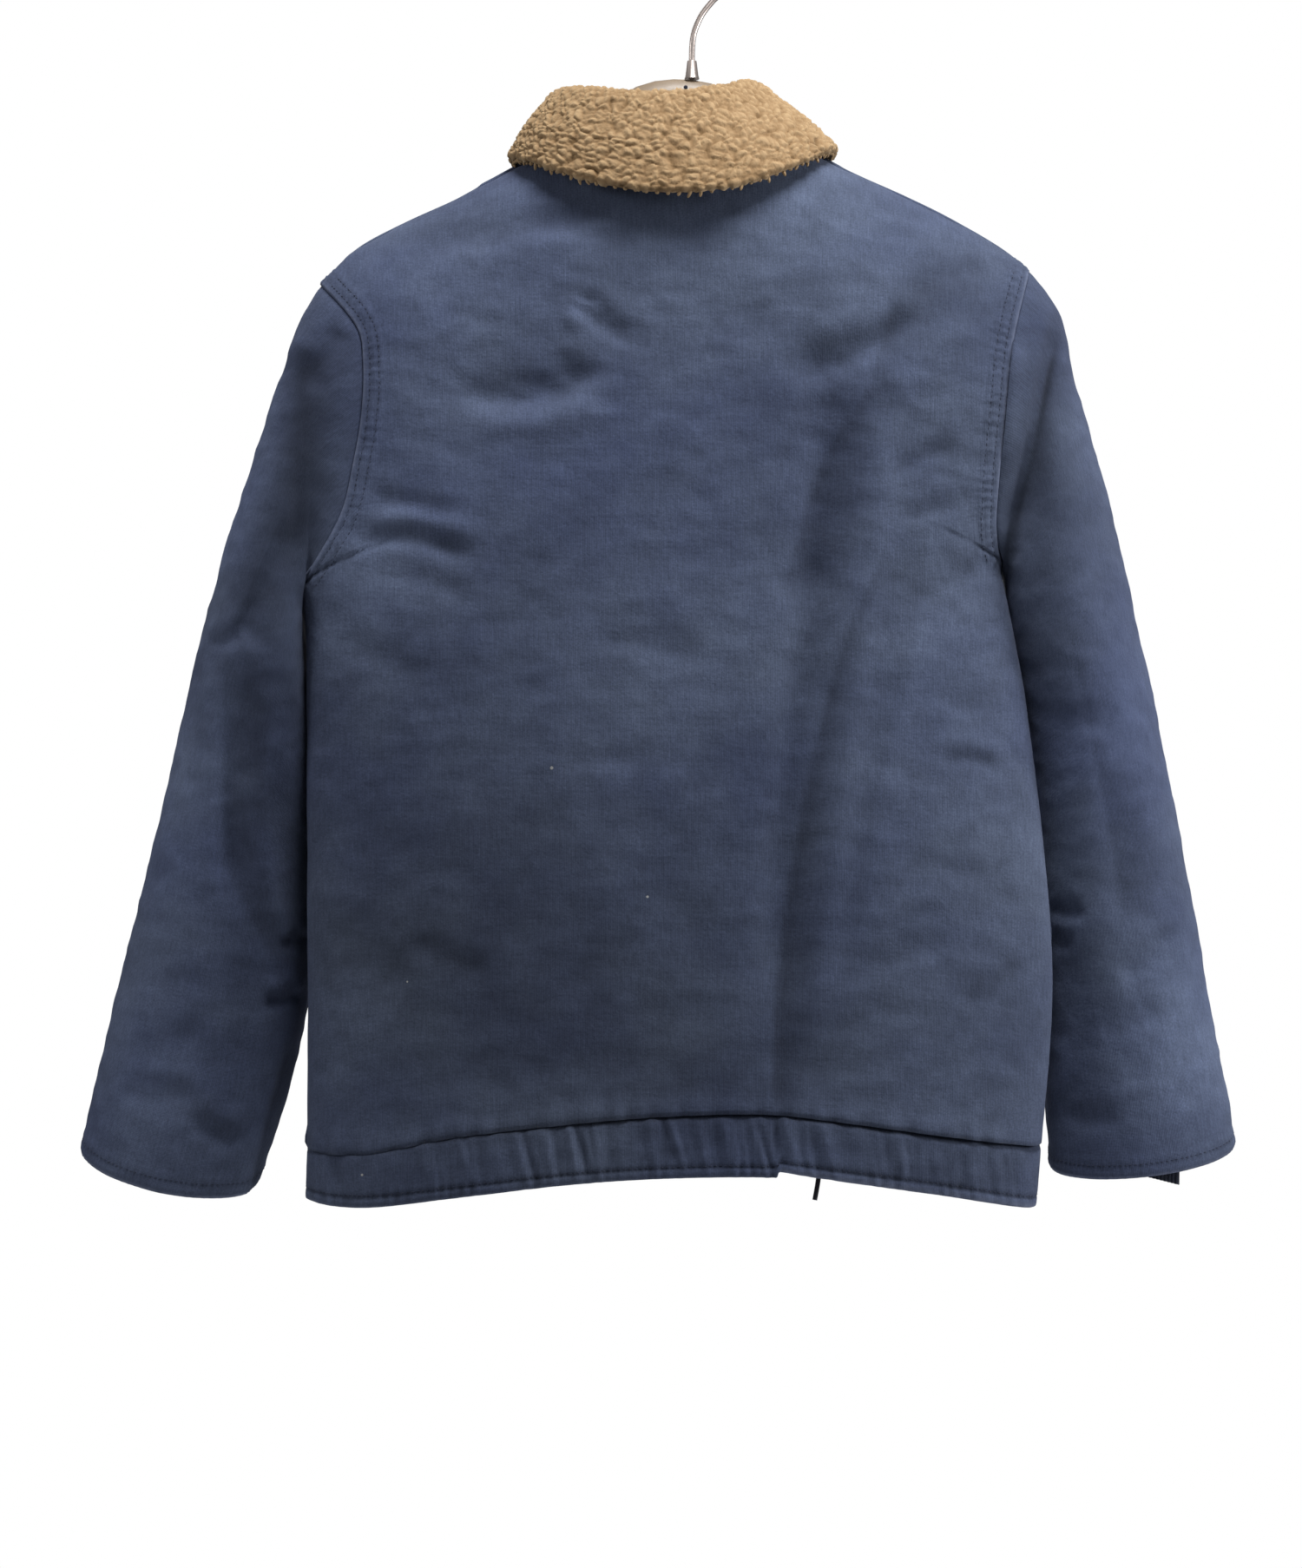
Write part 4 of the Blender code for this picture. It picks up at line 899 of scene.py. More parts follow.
def pile():
    """Curled pile: paler tips over brown depths, painted light on the tips and painted shade in the gaps, with
    fine curls in the bump.
    """
    look = Looks("tan_pile")
    fleck = look.clouds(130.0, 3.0)
    # the tip mark paints the nubs' tips paler as painted light and the gaps between them darker as painted shade
    tip = look.maths("MULTIPLY_ADD", fleck, 0.35, look.times(look.mark("tip"), 0.75))
    ramp = look.node("ValToRGB", {0: tip})
    stops = ramp.color_ramp.elements
    stops[0].position, stops[0].color = 0.06, colour(98, 75, 48)
    stops[1].position, stops[1].color = 0.85, colour(162, 136, 103)
    stops.new(0.40).color = colour(132, 106, 76)
    look.bumped(
        (look.clouds(260.0, 3.0), 0.0010, 0.7),
        (look.dots(620.0, "SMOOTH_F1")["Distance"], 0.0006, 0.5),
    )
    return look.set(
        Base_Color=ramp.outputs[0], Roughness=0.95, Sheen_Weight=0.3, Sheen_Roughness=0.5,
        Sheen_Tint=colour(235, 215, 180), Specular_IOR_Level=0.15,
    )


def plain_cloth(name, tone, pitch):
    """A narrow woven thing: a strap, a tape, a cord or a thread."""
    look = Looks(name)
    parts = look.node("SeparateXYZ", {0: look.place}).outputs
    twill = look.maths("SINE", look.times(look.maths("ADD", parts[0], parts[2]), math.tau / pitch))
    speck = look.clouds(600.0)
    look.bumped((twill, pitch / 8, 0.6), (speck, 0.0002, 0.4))
    return look.set(
        Base_Color=look.shaded(tone, look.ranged(speck, 0.2, 0.8, 0.75, 1.3)),
        Roughness=0.85, Sheen_Weight=0.15, Specular_IOR_Level=0.25,
    )


def moulded_plastic():
    """The hanger's grey plastic, a little cloudy."""
    look = Looks("hanger_plastic_look")
    cloudy, fine = look.clouds(30.0, 3.0), look.clouds(900.0, 2.0)
    look.bumped((cloudy, 0.0008, 0.3), (fine, 0.00006, 0.5))
    tone = look.mixed(look.ranged(cloudy, 0.3, 0.7), colour(130, 115, 98), colour(119, 104, 87))
    return look.set(Base_Color=tone, Roughness=look.ranged(fine, 0.3, 0.7, 0.32, 0.48), Specular_IOR_Level=0.5)


def metal(name, tone, dull, low, high):
    """Plated metal with dull patches and fine scratches. Its roughness runs from low to high."""
    look = Looks(name)
    patch = look.clouds(180.0, 4.0)
    scratch = look.clouds(1.0, 2.0, look.node("Mapping", {0: look.place, 3: (900, 900, 60)}).outputs[0])
    look.bumped((scratch, 0.00003, 0.35))
    return look.set(
        Base_Color=look.mixed(look.ranged(patch, 0.35, 0.7), tone, dull), Metallic=1.0,
        Roughness=look.ranged(patch, 0.3, 0.7, low, high),
    )


NAVY, NAVY_WORN, NAVY_THREAD = colour(58, 66, 89), colour(74, 83, 103), colour(118, 126, 150)


# What each piece of cloth is cut to, before it is sewn and hung, and what carries it.
CUTS = {
    # width, length, area where the cut isn't a rectangle, carriers
    "back": (0.520, 0.640, 0.300, ["hanger_moulding", "front_cloth_left", "front_cloth_right"]),
    "front_left": (0.262, 0.620, 0.150, ["hanger_moulding", "back_cloth"]),
    "front_right": (0.262, 0.620, 0.150, ["hanger_moulding", "back_cloth"]),
    "sleeve_left": (0.400, 0.620, 0.158, ["back_cloth", "front_cloth_left"]),
    "sleeve_right": (0.400, 0.620, 0.152, ["back_cloth", "front_cloth_right"]),
    "hem_band_back": (0.510, 0.044, None, ["back_cloth"]),
    "hem_band_front_left": (0.255, 0.042, None, ["front_cloth_left"]),
    "hem_band_front_right": (0.255, 0.044, None, ["front_cloth_right"]),
}


# The camera, and the drawcord's free end.


def make_camera():
    """The photo's view, level and from straight behind."""
    data = bpy.data.cameras.new("camera")
    data.lens = CAMERA_LENS
    data.clip_end = 20
    camera = linked("camera", data)
    camera.location = (MIDDLE[0], CAMERA_Y, MIDDLE[1])
    camera.rotation_euler = (math.radians(90), 0, math.radians(180))
    bpy.context.scene.camera = camera


def smooth_line(points, steps):
    """A smooth line through points."""
    points = [Vector(p) for p in points]
    line = []
    for i in range(len(points) - 1):
        a, b = points[i], points[i + 1]
        before = points[i - 1] if i else a
        after = points[i + 2] if i + 2 < len(points) else b
        for k in range(steps):
            t = k / steps
            line.append(
                (2 * t**3 - 3 * t**2 + 1) * a + (t**3 - 2 * t**2 + t) * (b - before) / 2
                + (3 * t**2 - 2 * t**3) * b + (t**3 - t**2) * (after - a) / 2
            )
    return line + [points[-1]]


def wire(name, line, radius, look):
    """A round cord along a line."""
    curve = bpy.data.curves.new(name, "CURVE")
    curve.dimensions = "3D"
    curve.bevel_depth = radius
    curve.bevel_resolution = 5
    curve.use_fill_caps = True
    spline = curve.splines.new("POLY")
    spline.points.add(len(line) - 1)
    for dot, at in zip(spline.points, line):
        dot.co = (*at, 1)
    curve.materials.append(look)
    return linked(name, curve)


CORD_X, CORD_TOP, CORD_RADIUS = -0.0785, -0.7660, 0.0015
CORD_ROUTE = metres((
    # x, y and z from its start inside the band
    (0, 0, 0), (0, -2.8, -1.6), (0.3, -5.4, -7), (1, -5.6, -16), (2.2, -5, -24), (3.8, -4.2, -32.5),
))


def make_drawcord(look):
    """The free end, from the inside of the hem band, where its solid starts, to below its edge."""
    start = Vector((CORD_X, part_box("hem_drawcord")[1].y - CORD_RADIUS / 2, CORD_TOP))
    line = smooth_line([start + Vector(step) for step in CORD_ROUTE], 6)
    made = wire("drawcord_end", line, CORD_RADIUS, look)
    length = sum((b - a).length for a, b in zip(line[:-1], line[1:]))
    place(made, "cord", "hem_drawcord")


# The body's panels.


def seam_line(side, face, count=60):
    """The armhole seam in space, on one face."""
    x, z = armhole(side, np.linspace(0, 1, count))
    return points_of(x, body_y(x, z, face, folded=False), z)


def puckers(run, pitch, seed):
    """Uneven little waves along a stitched seam."""
    wave = np.sin(math.tau * run / pitch + 1.7 * np.sin(run * 61.0 + seed) + seed)
    return wave * (0.65 + 0.35 * np.sin(run * 143.0 + 2 * seed))


def panel_finish(face, seed):
    """What lies on a body panel: wrinkles, laps along the armholes, and puckers over the hem seam."""
    lines = {side: seam_line(side, face) for side in SIDES}

    def finish(u, v, at):
        height = cloth_wrinkles(at, seed)
        relief = FOLD_GAIN * fold_height(BODY_FOLDS[face], at[:, 0], at[:, 2]) + height
        # folded holds the painted shadows and highlights beside the sharp folds, for the tone, and a little
        # relief from the same values
        folded = fold_edge_shadows("back" if face > 0 else "front", at)
        height += FOLD_EDGE_RELIEF * folded
        tone = cloth_tone(at, relief, seed) + folded
        wear = np.zeros(len(at))
        for number, (side, line) in enumerate(lines.items()):
            away, run = nearest(line, at)
            fade = smooth((run.max() - run) / 0.012)
            lap = (1 - smooth((away - LAP_WIDTH) / 0.0030)) * fade
            edge = 1 - smooth(away / 0.0018)
            wave = puckers(run, PUCKER, seed + number)
            height += LAP_HEIGHT * lap * (1 - edge)
            height += 0.00050 * fade * wave * hump(away - 0.0065, 0.0075) * (1 - edge)
            for inwards in ARMHOLE_ROWS_OF_STITCHES:
                groove = fade * hump(away - inwards, GROOVE)
                height -= 0.0005 * groove
                # painted shade in the stitch grooves, deepest where the puckers dip
                tone -= 0.22 * groove * smooth(0.6 - wave)
            wear = np.maximum(wear, 0.55 * hump(away, 0.0016))
        over_hem = at[:, 2] - hem_z(at[:, 0], 1)
        gather = puckers(at[:, 0], 0.0185, seed + 3)
        height += 0.0011 * gather * hump(over_hem, 0.014) * smooth(over_hem / 0.003 + 0.35)
        height += 0.0010 * hump(over_hem - 0.006, 0.006)
        height -= 0.0009 * hump(over_hem, 0.0016)
        # painted light on the gathers' crests and painted shade in their hollows over the hem seam, then a
        # painted shade line along the seam
        tone += 0.10 * gather * hump(over_hem, 0.012)
        tone -= 0.35 * hump(over_hem, 0.0018)
        height *= 0.25 + 0.75 * smooth(np.minimum(u, 1 - u) / 0.02)
        return height, at[:, [0, 2]], {"wear": wear, "tone": tone}

    return finish


def crowd(t, ends):
    """Puts more rows near both ends: `ends` is the share of them that goes evenly."""
    s = 2 * t - 1
    return 0.5 + 0.5 * ((1 - ends) * np.sin(s * math.pi / 2) + ends * s)


def crowd_up(t):
    """Puts more rows near the top."""
    return 0.84 * np.sin(t * math.pi / 2) + 0.16 * t


def make_back(look):
    def form(u, v):
        x, z = body_patch(u, v, 1)
        return points_of(x, body_y(x, z, 1), z)

    made = sheet(
        "back_cloth", *GRIDS["back"], form, panel_finish(1, SEEDS["back"]), WALL, look,
        spread=lambda u, v: (crowd(u, 0.30), blend(v, crowd_up(v), 0.55)),
    )
    return place(made, "navy_cloth", "back")


def make_front(side, look):
    """One front, from its side seam to the zip."""
    sign = SIDES[side]

    def form(u, v):
        across = 0.5 * (1 - u) if side == "left" else 1 - 0.5 * u
        x, z = body_patch(across, v, -1)
        x = x + sign * ZIP_HALF * (1 - np.abs(2 * across - 1))
        return points_of(x, body_y(x, z, -1), z)

    shared = panel_finish(-1, SEEDS["front_" + side])

    def finish(u, v, at):
        height, cloth, marks = shared(np.full(len(u), 0.5), v, at)
        from_zip = np.abs(at[:, 0] - CENTRE_X) - ZIP_HALF
        height = height * smooth(from_zip / 0.012)
        height += 0.0008 * (1 - smooth((from_zip - 0.009) / 0.003))
        groove = hump(from_zip - ZIP_STITCHES_OUT, GROOVE)
        height -= 0.0004 * groove
        # painted shade in the stitch groove beside the zip
        marks["tone"] -= 0.2 * groove
        marks["wear"] = np.maximum(marks["wear"], 0.4 * hump(from_zip, 0.0016))
        return height, cloth, marks

    made = sheet(
        "front_cloth_" + side, *GRIDS["front"], form, finish, WALL, look,
        spread=lambda u, v: (crowd(u, 0.35), blend(v, crowd_up(v), 0.55)),
    )
    return place(made, "navy_cloth", "front_" + side)


# The hem band.


def gather(x, z, face):
    """The band's gathers: uneven waves that lean over it, with finer ones and pressed pleats between."""
    share = (x - CENTRE_X) / HEM_WIDTH + 0.5
    top, low = hem_z(x, 1), hem_z(x, 2)
    down = (top - z) / (top - low)
    phase = BAND_GATHERS * share + 0.55 * np.sin(9.1 * share + face) + 0.35 * down
    size = 0.55 + 0.25 * np.sin(17.0 * share + 2 * face) + 0.20 * np.sin(41.0 * share)
    middle = 0.35 + 0.65 * np.sin(math.pi * np.clip(down, 0, 1))
    wave = np.sin(math.tau * phase)
    sharp = wave - 0.30 * np.sin(2 * math.tau * phase + 0.9)
    fine = 0.30 * np.sin(math.tau * (2.37 * phase + 0.8 * np.sin(31 * share)) - 1.1 * down)
    total = 0.0014 * size * middle * (sharp + fine)
    for at_seam, at_edge, half, depth in BAND_PLEATS if face > 0 else ():
        away = (x - blend(at_seam, at_edge, down)) / half
        total += depth * middle * (0.6 * hump(away + 1.1, 1) - 1.1 * hump(away, 1))
    return total


BANDS = (
    # name, share of the width where it starts and ends (0 is the wearer's left), columns, face
    ("hem_band_back", 0.0, 1.0, 420, 1),
    ("hem_band_front_left", 0.5, 0.0, 200, -1),
    ("hem_band_front_right", 1.0, 0.5, 200, -1),
)


def band_form(name, start, end, face):
    """Points of a stretch of the hem band, from its lower edge up to its seam."""
    left_low = side_edge("left", np.zeros(1))[0]
    right_low = side_edge("right", np.zeros(1))[0]
    sign = SIDES.get(name.rsplit("_", 1)[1], 0)

    def form(u, v):
        across = blend(start, end, u)
        seam_x = blend(left_low, right_low, across)
        low = hem_z(seam_x, 2)
        if face > 0:
            past = BAND_STEP_X - seam_x
            low = low + BAND_STEP * smooth(past / 0.0022 + 0.5) * np.exp(-np.maximum(past, 0) / 0.030)
        z = blend(low, hem_z(seam_x, 1) + BAND_TUCK, v)
        side = side_x(z, across < 0.5)
        x = blend(CENTRE_X, side, np.abs(2 * across - 1))
        x = x + sign * ZIP_HALF * (1 - np.abs(2 * across - 1))
        y = body_y(x, z, face)
        away = np.minimum(np.abs((x - CENTRE_X) / (side - CENTRE_X)), 1)
        still = hump(x - CENTRE_X, 0.014) if face < 0 else 0
        y = y + face * gather(x, z, face) * (1 - away**6) * (1 - still)
        return points_of(x, y, z)

    return form


def make_band(name, start, end, columns, face, look):
    def finish(u, v, at):
        drop = hem_z(at[:, 0], 1) - hem_z(at[:, 0], 2)
        up = v * (drop + BAND_TUCK)
        wrinkles = 0.8 * cloth_wrinkles(at, SEEDS["band"] + face)
        waves = gather(at[:, 0], at[:, 2], face)
        tone = 0.90 * cloth_tone(at, waves + wrinkles, SEEDS["band"] + 1 + face)
        height = wrinkles + 0.0011 * (rounding(up / 0.004) - 1)
        height -= 0.0030 * smooth((up - drop + 0.0010) / 0.0034)
        groove = hump(up - BAND_STITCHES_UP, HEAVY_GROOVE)
        ripple = puckers(at[:, 0], 0.0073, 2.0 + face) * hump(up - 0.004, 0.005)
        height += 0.0005 * ripple - 0.0009 * groove
        height *= smooth(np.minimum(u, 1 - u) / 0.01) * 0.8 + 0.2
        # painted light on the ripples' crests and painted shade in their hollows and in the stitch groove, and
        # painted shade where the band runs up under the back's edge
        tone += 0.12 * ripple - 0.34 * groove - 0.35 * smooth((up - drop + 0.0022) / 0.0022)
        rolled = smooth((BAND_STEP_X - at[:, 0]) / 0.004) if face > 0 else np.zeros(len(at))
        tone += 0.16 * rolled * (1 - smooth((up - 0.0045) / 0.0015))
        wear = hump(up, blend(0.0012, 0.0026, rolled)) * blend(0.35, 0.85, rolled)
        return height, at[:, [0, 2]], {"wear": wear, "tone": tone}

    form = band_form(name, start, end, face)
    piece = name.replace("hem_band", "band_cloth")
    made = sheet(piece, columns, BAND_GRID_ROWS, form, finish, BAND_WALL, look)
    return place(made, "navy_band", name)


# The sleeves.


def sleeve_turn(side, u):
    """Angles round a sleeve, from its outer edge over its back to its inner edge and on round the front."""
    return math.tau * ((1 - u) if side == "left" else u)


def sleeve_ring(side, share):
    """One ring's centre, the way from there to the outer edge, its depth, and the armhole's share in it."""
    rows = SLEEVE_ROWS[side]
    outer_x, outer_z, inner_x, inner_z, y, depth, arm = (along(rows, share, k) for k in range(1, 8))
    outer, inner = points_of(outer_x, y, outer_z), points_of(inner_x, y, inner_z)
    return (outer + inner) / 2, (outer - inner) / 2, depth, np.maximum(arm, 0)


def front_sleeve_folds(side, share, turn):
    """The heights of the soft folds on a sleeve's hidden half."""
    total = np.zeros(len(share))
    degrees = np.degrees(turn) % 360
    for _, start, end, from_turn, to_turn, half, height in SLEEVE_FRONT_FOLDS[side]:
        t = np.clip((share - start) / (end - start), 0, 1)
        away = (degrees - blend(from_turn, to_turn, t)) / half
        total += height * np.sin(math.pi * t) ** 0.7 * hump(away, 1)
    return total


def sleeve_form(side):
    """Points of a sleeve: rings from the armhole to the cuff, with its folds."""
    def form(u, v):
        turn = sleeve_turn(side, u)
        share = np.clip(v, 0, 1)
        centre, half, depth, arm = sleeve_ring(side, share)
        cosine, sine = np.cos(turn), np.sin(turn)
        depth = depth + front_sleeve_folds(side, share, turn) / np.maximum(np.abs(sine), 0.5)
        at = centre + half * cosine[:, None]
        at[:, 1] += depth * sine
        first_centre, first_half, first_depth, _ = sleeve_ring(side, np.zeros(1))
        x, z = armhole(side, (1 - cosine) / 2)
        seam = points_of(x, seam_y(x, z, sine >= 0), z)
        plain = first_centre + first_half * cosine[:, None]
        plain[:, 1] += first_depth * sine
        at += (seam - plain) * arm[:, None]
        behind = smooth(sine / 0.35)
        at[:, 1] += behind * FOLD_GAIN * fold_height(SLEEVE_FOLDS[side], *lined_up(at))
        droop = smooth((share - 0.8) / 0.2)
        at[:, 2] -= CUFF_DROOP[side] * droop * sine
        return at

    return form


def make_sleeve(side, look):
    form = sleeve_form(side)
    seed = SEEDS["sleeve_" + side]

    def finish(u, v, at):
        from_cuff = (1 - v) * SLEEVE_LENGTH
        from_seam = v * SLEEVE_LENGTH
        turn = sleeve_turn(side, u)
        height = cloth_wrinkles(at, seed) * smooth(from_seam / 0.02)
        behind = smooth(np.sin(turn) / 0.35)
        relief = behind * FOLD_GAIN * fold_height(SLEEVE_FOLDS[side], *lined_up(at))
        # folded holds the painted shadows and highlights beside the sharp folds, for the tone, and a little
        # relief from the same values
        folded = behind * fold_edge_shadows("sleeve_" + side, at)
        height += FOLD_EDGE_RELIEF * folded
        tone = cloth_tone(at, relief + height, seed) + folded
        height += 0.0009 * (1 - smooth((from_cuff - CUFF_STITCHES_UP - 0.001) / 0.003))
        groove = hump(from_cuff - CUFF_STITCHES_UP, HEAVY_GROOVE)
        ripple = puckers(turn * 0.057, PUCKER, seed) * hump(from_cuff - 0.005, 0.006)
        height += 0.00045 * ripple - 0.0007 * groove
        height -= 0.0010 * (1 - rounding(from_cuff / 0.003))
        height -= 0.0008 * hump(from_seam, 0.003)
        # painted light on the ripples' crests and painted shade in their hollows and in the stitch groove above
        # the cuff
        tone += 0.10 * ripple - 0.30 * groove
        beside = (u - (SLEEVE_SEAM if side == "left" else 1 - SLEEVE_SEAM)) * SLEEVE_GIRTH
        height -= 0.0005 * hump(beside, 0.0014)
        worn_seam = 0.45 * hump(beside, 0.0016) * smooth((v - 0.72) / 0.12)
        wear = np.maximum(0.7 * hump(from_cuff, 0.0013), worn_seam)
        return height, np.stack([u * SLEEVE_GIRTH, v * SLEEVE_LENGTH], axis=1), {"wear": wear, "tone": tone}

    made = sheet(
        "sleeve_cloth_" + side, *GRIDS["sleeve"], form, finish, WALL, look,
        spread=lambda u, v: (u, crowd(v, 0.6)),
    )
    return place(made, "navy_cloth", "sleeve_" + side)


# The collar.


def collar_level(levels, turn):
    """Heights round the neck, from those at the sides, the back and the front."""
    across, back = np.sin(turn), np.cos(turn)
    sides = blend(levels["right"], levels["left"], (across + 1) / 2)
    return blend(sides, np.where(back > 0, levels["back"], levels["front"]), back * back)


def collar_ring(turn, shift, half_width, back_depth, front_depth, levels):
    """Points of one of the collar's rings round the neck: its roll or its free edge."""
    depth = np.where(np.cos(turn) > 0, back_depth, front_depth)
    x = CENTRE_X + shift + half_width * np.sin(turn)
    return points_of(x, depth * np.cos(turn), collar_level(levels, turn))


def collar_path(turn, t):
    """The folded sheet before its bends are eased: the stand, the roll and the fall."""
    x, z = neck(turn)
    outward = points_of(np.sin(turn), np.cos(turn), 0 * turn)
    base = points_of(x, seam_y(x, z, np.cos(turn) > 0), z + 0.0036) - outward * 0.0010
    roll = collar_ring(turn, ROLL_SHIFT, ROLL_HALF_WIDTH, ROLL_BACK, ROLL_FRONT, ROLL_Z)
    edge = collar_ring(turn, 0.0, FALL_HALF_WIDTH, FALL_BACK, FALL_FRONT, FALL_Z)
    stand = blend(base, roll - outward * ROLL_RADIUS, np.clip(t / STAND_END, 0, 1)[:, None])
    angle = math.pi * np.clip((t - STAND_END) / (ROLL_END - STAND_END), 0, 1)[:, None]
    over = roll + (np.array([0, 0, 1]) * np.sin(angle) - outward * np.cos(angle)) * ROLL_RADIUS
    share = np.clip((t - ROLL_END) / (1 - ROLL_END), 0, 1)[:, None]
    fall = blend(roll + outward * ROLL_RADIUS, edge, share) + outward * 0.003 * np.sin(math.pi * share)
    t = t[:, None]
    return np.where(t < STAND_END, stand, np.where(t < ROLL_END, over, fall))


def collar_middle(turn, t):
    """The middle of the folded sheet, as the mean of places close by, which eases its bends."""
    reach = COLLAR_BEND * np.clip(np.minimum(t, 1 - t) / COLLAR_BEND, 0, 1)
    return sum(collar_path(turn, t + reach * k / 2) for k in (-2, -1, 0, 1, 2)) / 5


COLLAR_HIDDEN = 0.30  # share of the loop round the folded sheet that its hidden side takes
COLLAR_RUN, COLLAR_RISE = 0.50, 0.118
PILE_STANDS, PILE_SINKS = 0.0031, 0.0012
TUFTS = 96


def collar_run(w):
    """How far from the neck seam a place on the loop is, from 0 to 1, and whether it is on the pile side."""
    pile_side = w < 1 - COLLAR_HIDDEN
    return np.where(pile_side, w / (1 - COLLAR_HIDDEN), (1 - w) / COLLAR_HIDDEN), pile_side


def collar_form(outer, hidden):
    """A loop round the folded sheet: out on its pile side, round the free edge, and back on its hidden side.
    `outer` and `hidden` are the shares of half the wall that it stands off the sheet's middle."""
    reach = math.pi - math.radians(COLLAR_OPEN)
    half = COLLAR_WALL / 2

    def form(u, w):
        t, pile_side = collar_run(w % 1.0)
        turn = blend(-reach, reach, np.clip(u, 0, 1))
        middle = collar_middle(turn, t)
        step = 0.035
        up = collar_middle(turn, np.clip(t + step, 0, 1)) - collar_middle(turn, np.clip(t - step, 0, 1))
        round_neck = collar_middle(turn + step, t) - collar_middle(turn - step, t)
        side = np.cross(round_neck, up)
        side /= np.maximum(np.linalg.norm(side, axis=1, keepdims=True), 1e-12)
        bulge = rounding(np.minimum(1 - t, t) * COLLAR_RISE / half)
        closing = rounding(np.minimum(u, 1 - u) * COLLAR_RUN / half)
        out = half * bulge * closing * np.where(pile_side, outer, -hidden)
        return middle + side * out[:, None]

    return form


def make_collar(look):
    """The collar's knitted backing, and the curled pile that covers all that shows of it."""

    def plain(u, w, at):
        run = collar_run(w)[0] * COLLAR_RISE
        return 0 * u, np.stack([u * COLLAR_RUN, run], axis=1), {"tip": 0 * u + 0.45}

    def curled(u, w, at):
        run, pile_side = collar_run(w)
        run = run * COLLAR_RISE
        # tip is each nub's height; it also paints the pile paler on the tips and darker in the gaps, as painted
        # light and shade
        tip = np.array([nub(a, b) for a, b in zip(u * COLLAR_RUN, run)])
        from_end = np.minimum(u, 1 - u) * COLLAR_RUN
        peeps = np.maximum(smooth((run - 0.095) / 0.012), 1 - smooth(from_end / 0.03))
        shows = np.where(pile_side, 1.0, peeps)
        fade = shows * smooth(from_end / 0.0015)
        height = (PILE_STANDS * tip - PILE_SINKS) * fade
        return height, np.stack([u * COLLAR_RUN, run], axis=1), {"tip": blend(0.4, tip, fade)}

    backing = sheet(
        "collar_backing", *GRIDS["backing"], collar_form(0.4, 1.0), plain, 0, look,
        spread=lambda u, w: (u, np.interp(w, (0, 0.5, 1), (0, 1 - COLLAR_HIDDEN, 1))),
    )
    place(backing, "pile")
    pile_layer = sheet(
        "collar_pile", *GRIDS["pile"], collar_form(1.0, 0.2), curled, 0, look,
        spread=lambda u, w: (u, np.interp(w, (0, 0.84, 1), (0, 1 - COLLAR_HIDDEN, 1))),
    )
    place(pile_layer, "pile", "collar")


def nub(a, b):
    """The height, from 0 to 1, of the curled nub at a place on the pile."""
    at = Vector((a, b, 0.0))
    swirl = Vector((noise.noise(at * 130), noise.noise(at * 130 + Vector((9, 4, 2))), 0))
    bent = at + 0.0034 * swirl
    near = noise.voronoi(Vector((bent.x / 0.0054, bent.y / 0.0040, 0.37)))[0]
    dome = max(0.0, 1 - (near[0] / 0.90) ** 2)
    gap = min((near[1] - near[0]) / 0.5, 1.0)
    body = math.sqrt(dome) * (0.45 + 0.55 * gap**0.6)
    fine = 0.07 * noise.noise(at * 700)
    return max(0.0, min(1.0, body * (0.92 + 0.2 * noise.noise(at * 60)) + fine))


def make_tufts(look):
    """Loose curls that hang from the collar's free edge."""
    shape = bmesh.new()
    reach = math.pi - math.radians(COLLAR_OPEN + 2)
    for k in range(TUFTS):
        turn = blend(-reach, reach, (k + 0.5 + 0.9 * math.sin(12.7 * k)) / TUFTS)
        size = abs(math.sin(7.9 * k * k + 1.3))
        at = Vector(collar_middle(np.array([turn]), np.array([0.985]))[0])
        lean = Matrix.Rotation(0.5 * math.sin(5.3 * k), 4, "Y")
        lean = lean @ Matrix.Rotation(0.4 * math.sin(9.1 * k), 4, "X")
        stretch = Matrix.Diagonal((0.0015 - 0.0004 * size, 0.0013, 0.0014 + 0.0024 * size**5, 1))
        where = Matrix.Translation(at - Vector((0, 0, 0.0016 + 0.0008 * size))) @ lean @ stretch
        bmesh.ops.create_icosphere(shape, subdivisions=2, radius=1.0, matrix=where)
    made = into_scene("collar_tufts", shape, look)
    values = np.full(len(made.data.vertices), 0.85, np.float32)
    made.data.attributes.new("tip", "FLOAT", "POINT").data.foreach_set("value", values)
    return place(made, "pile")


# The zip, the strap end and the hanger.


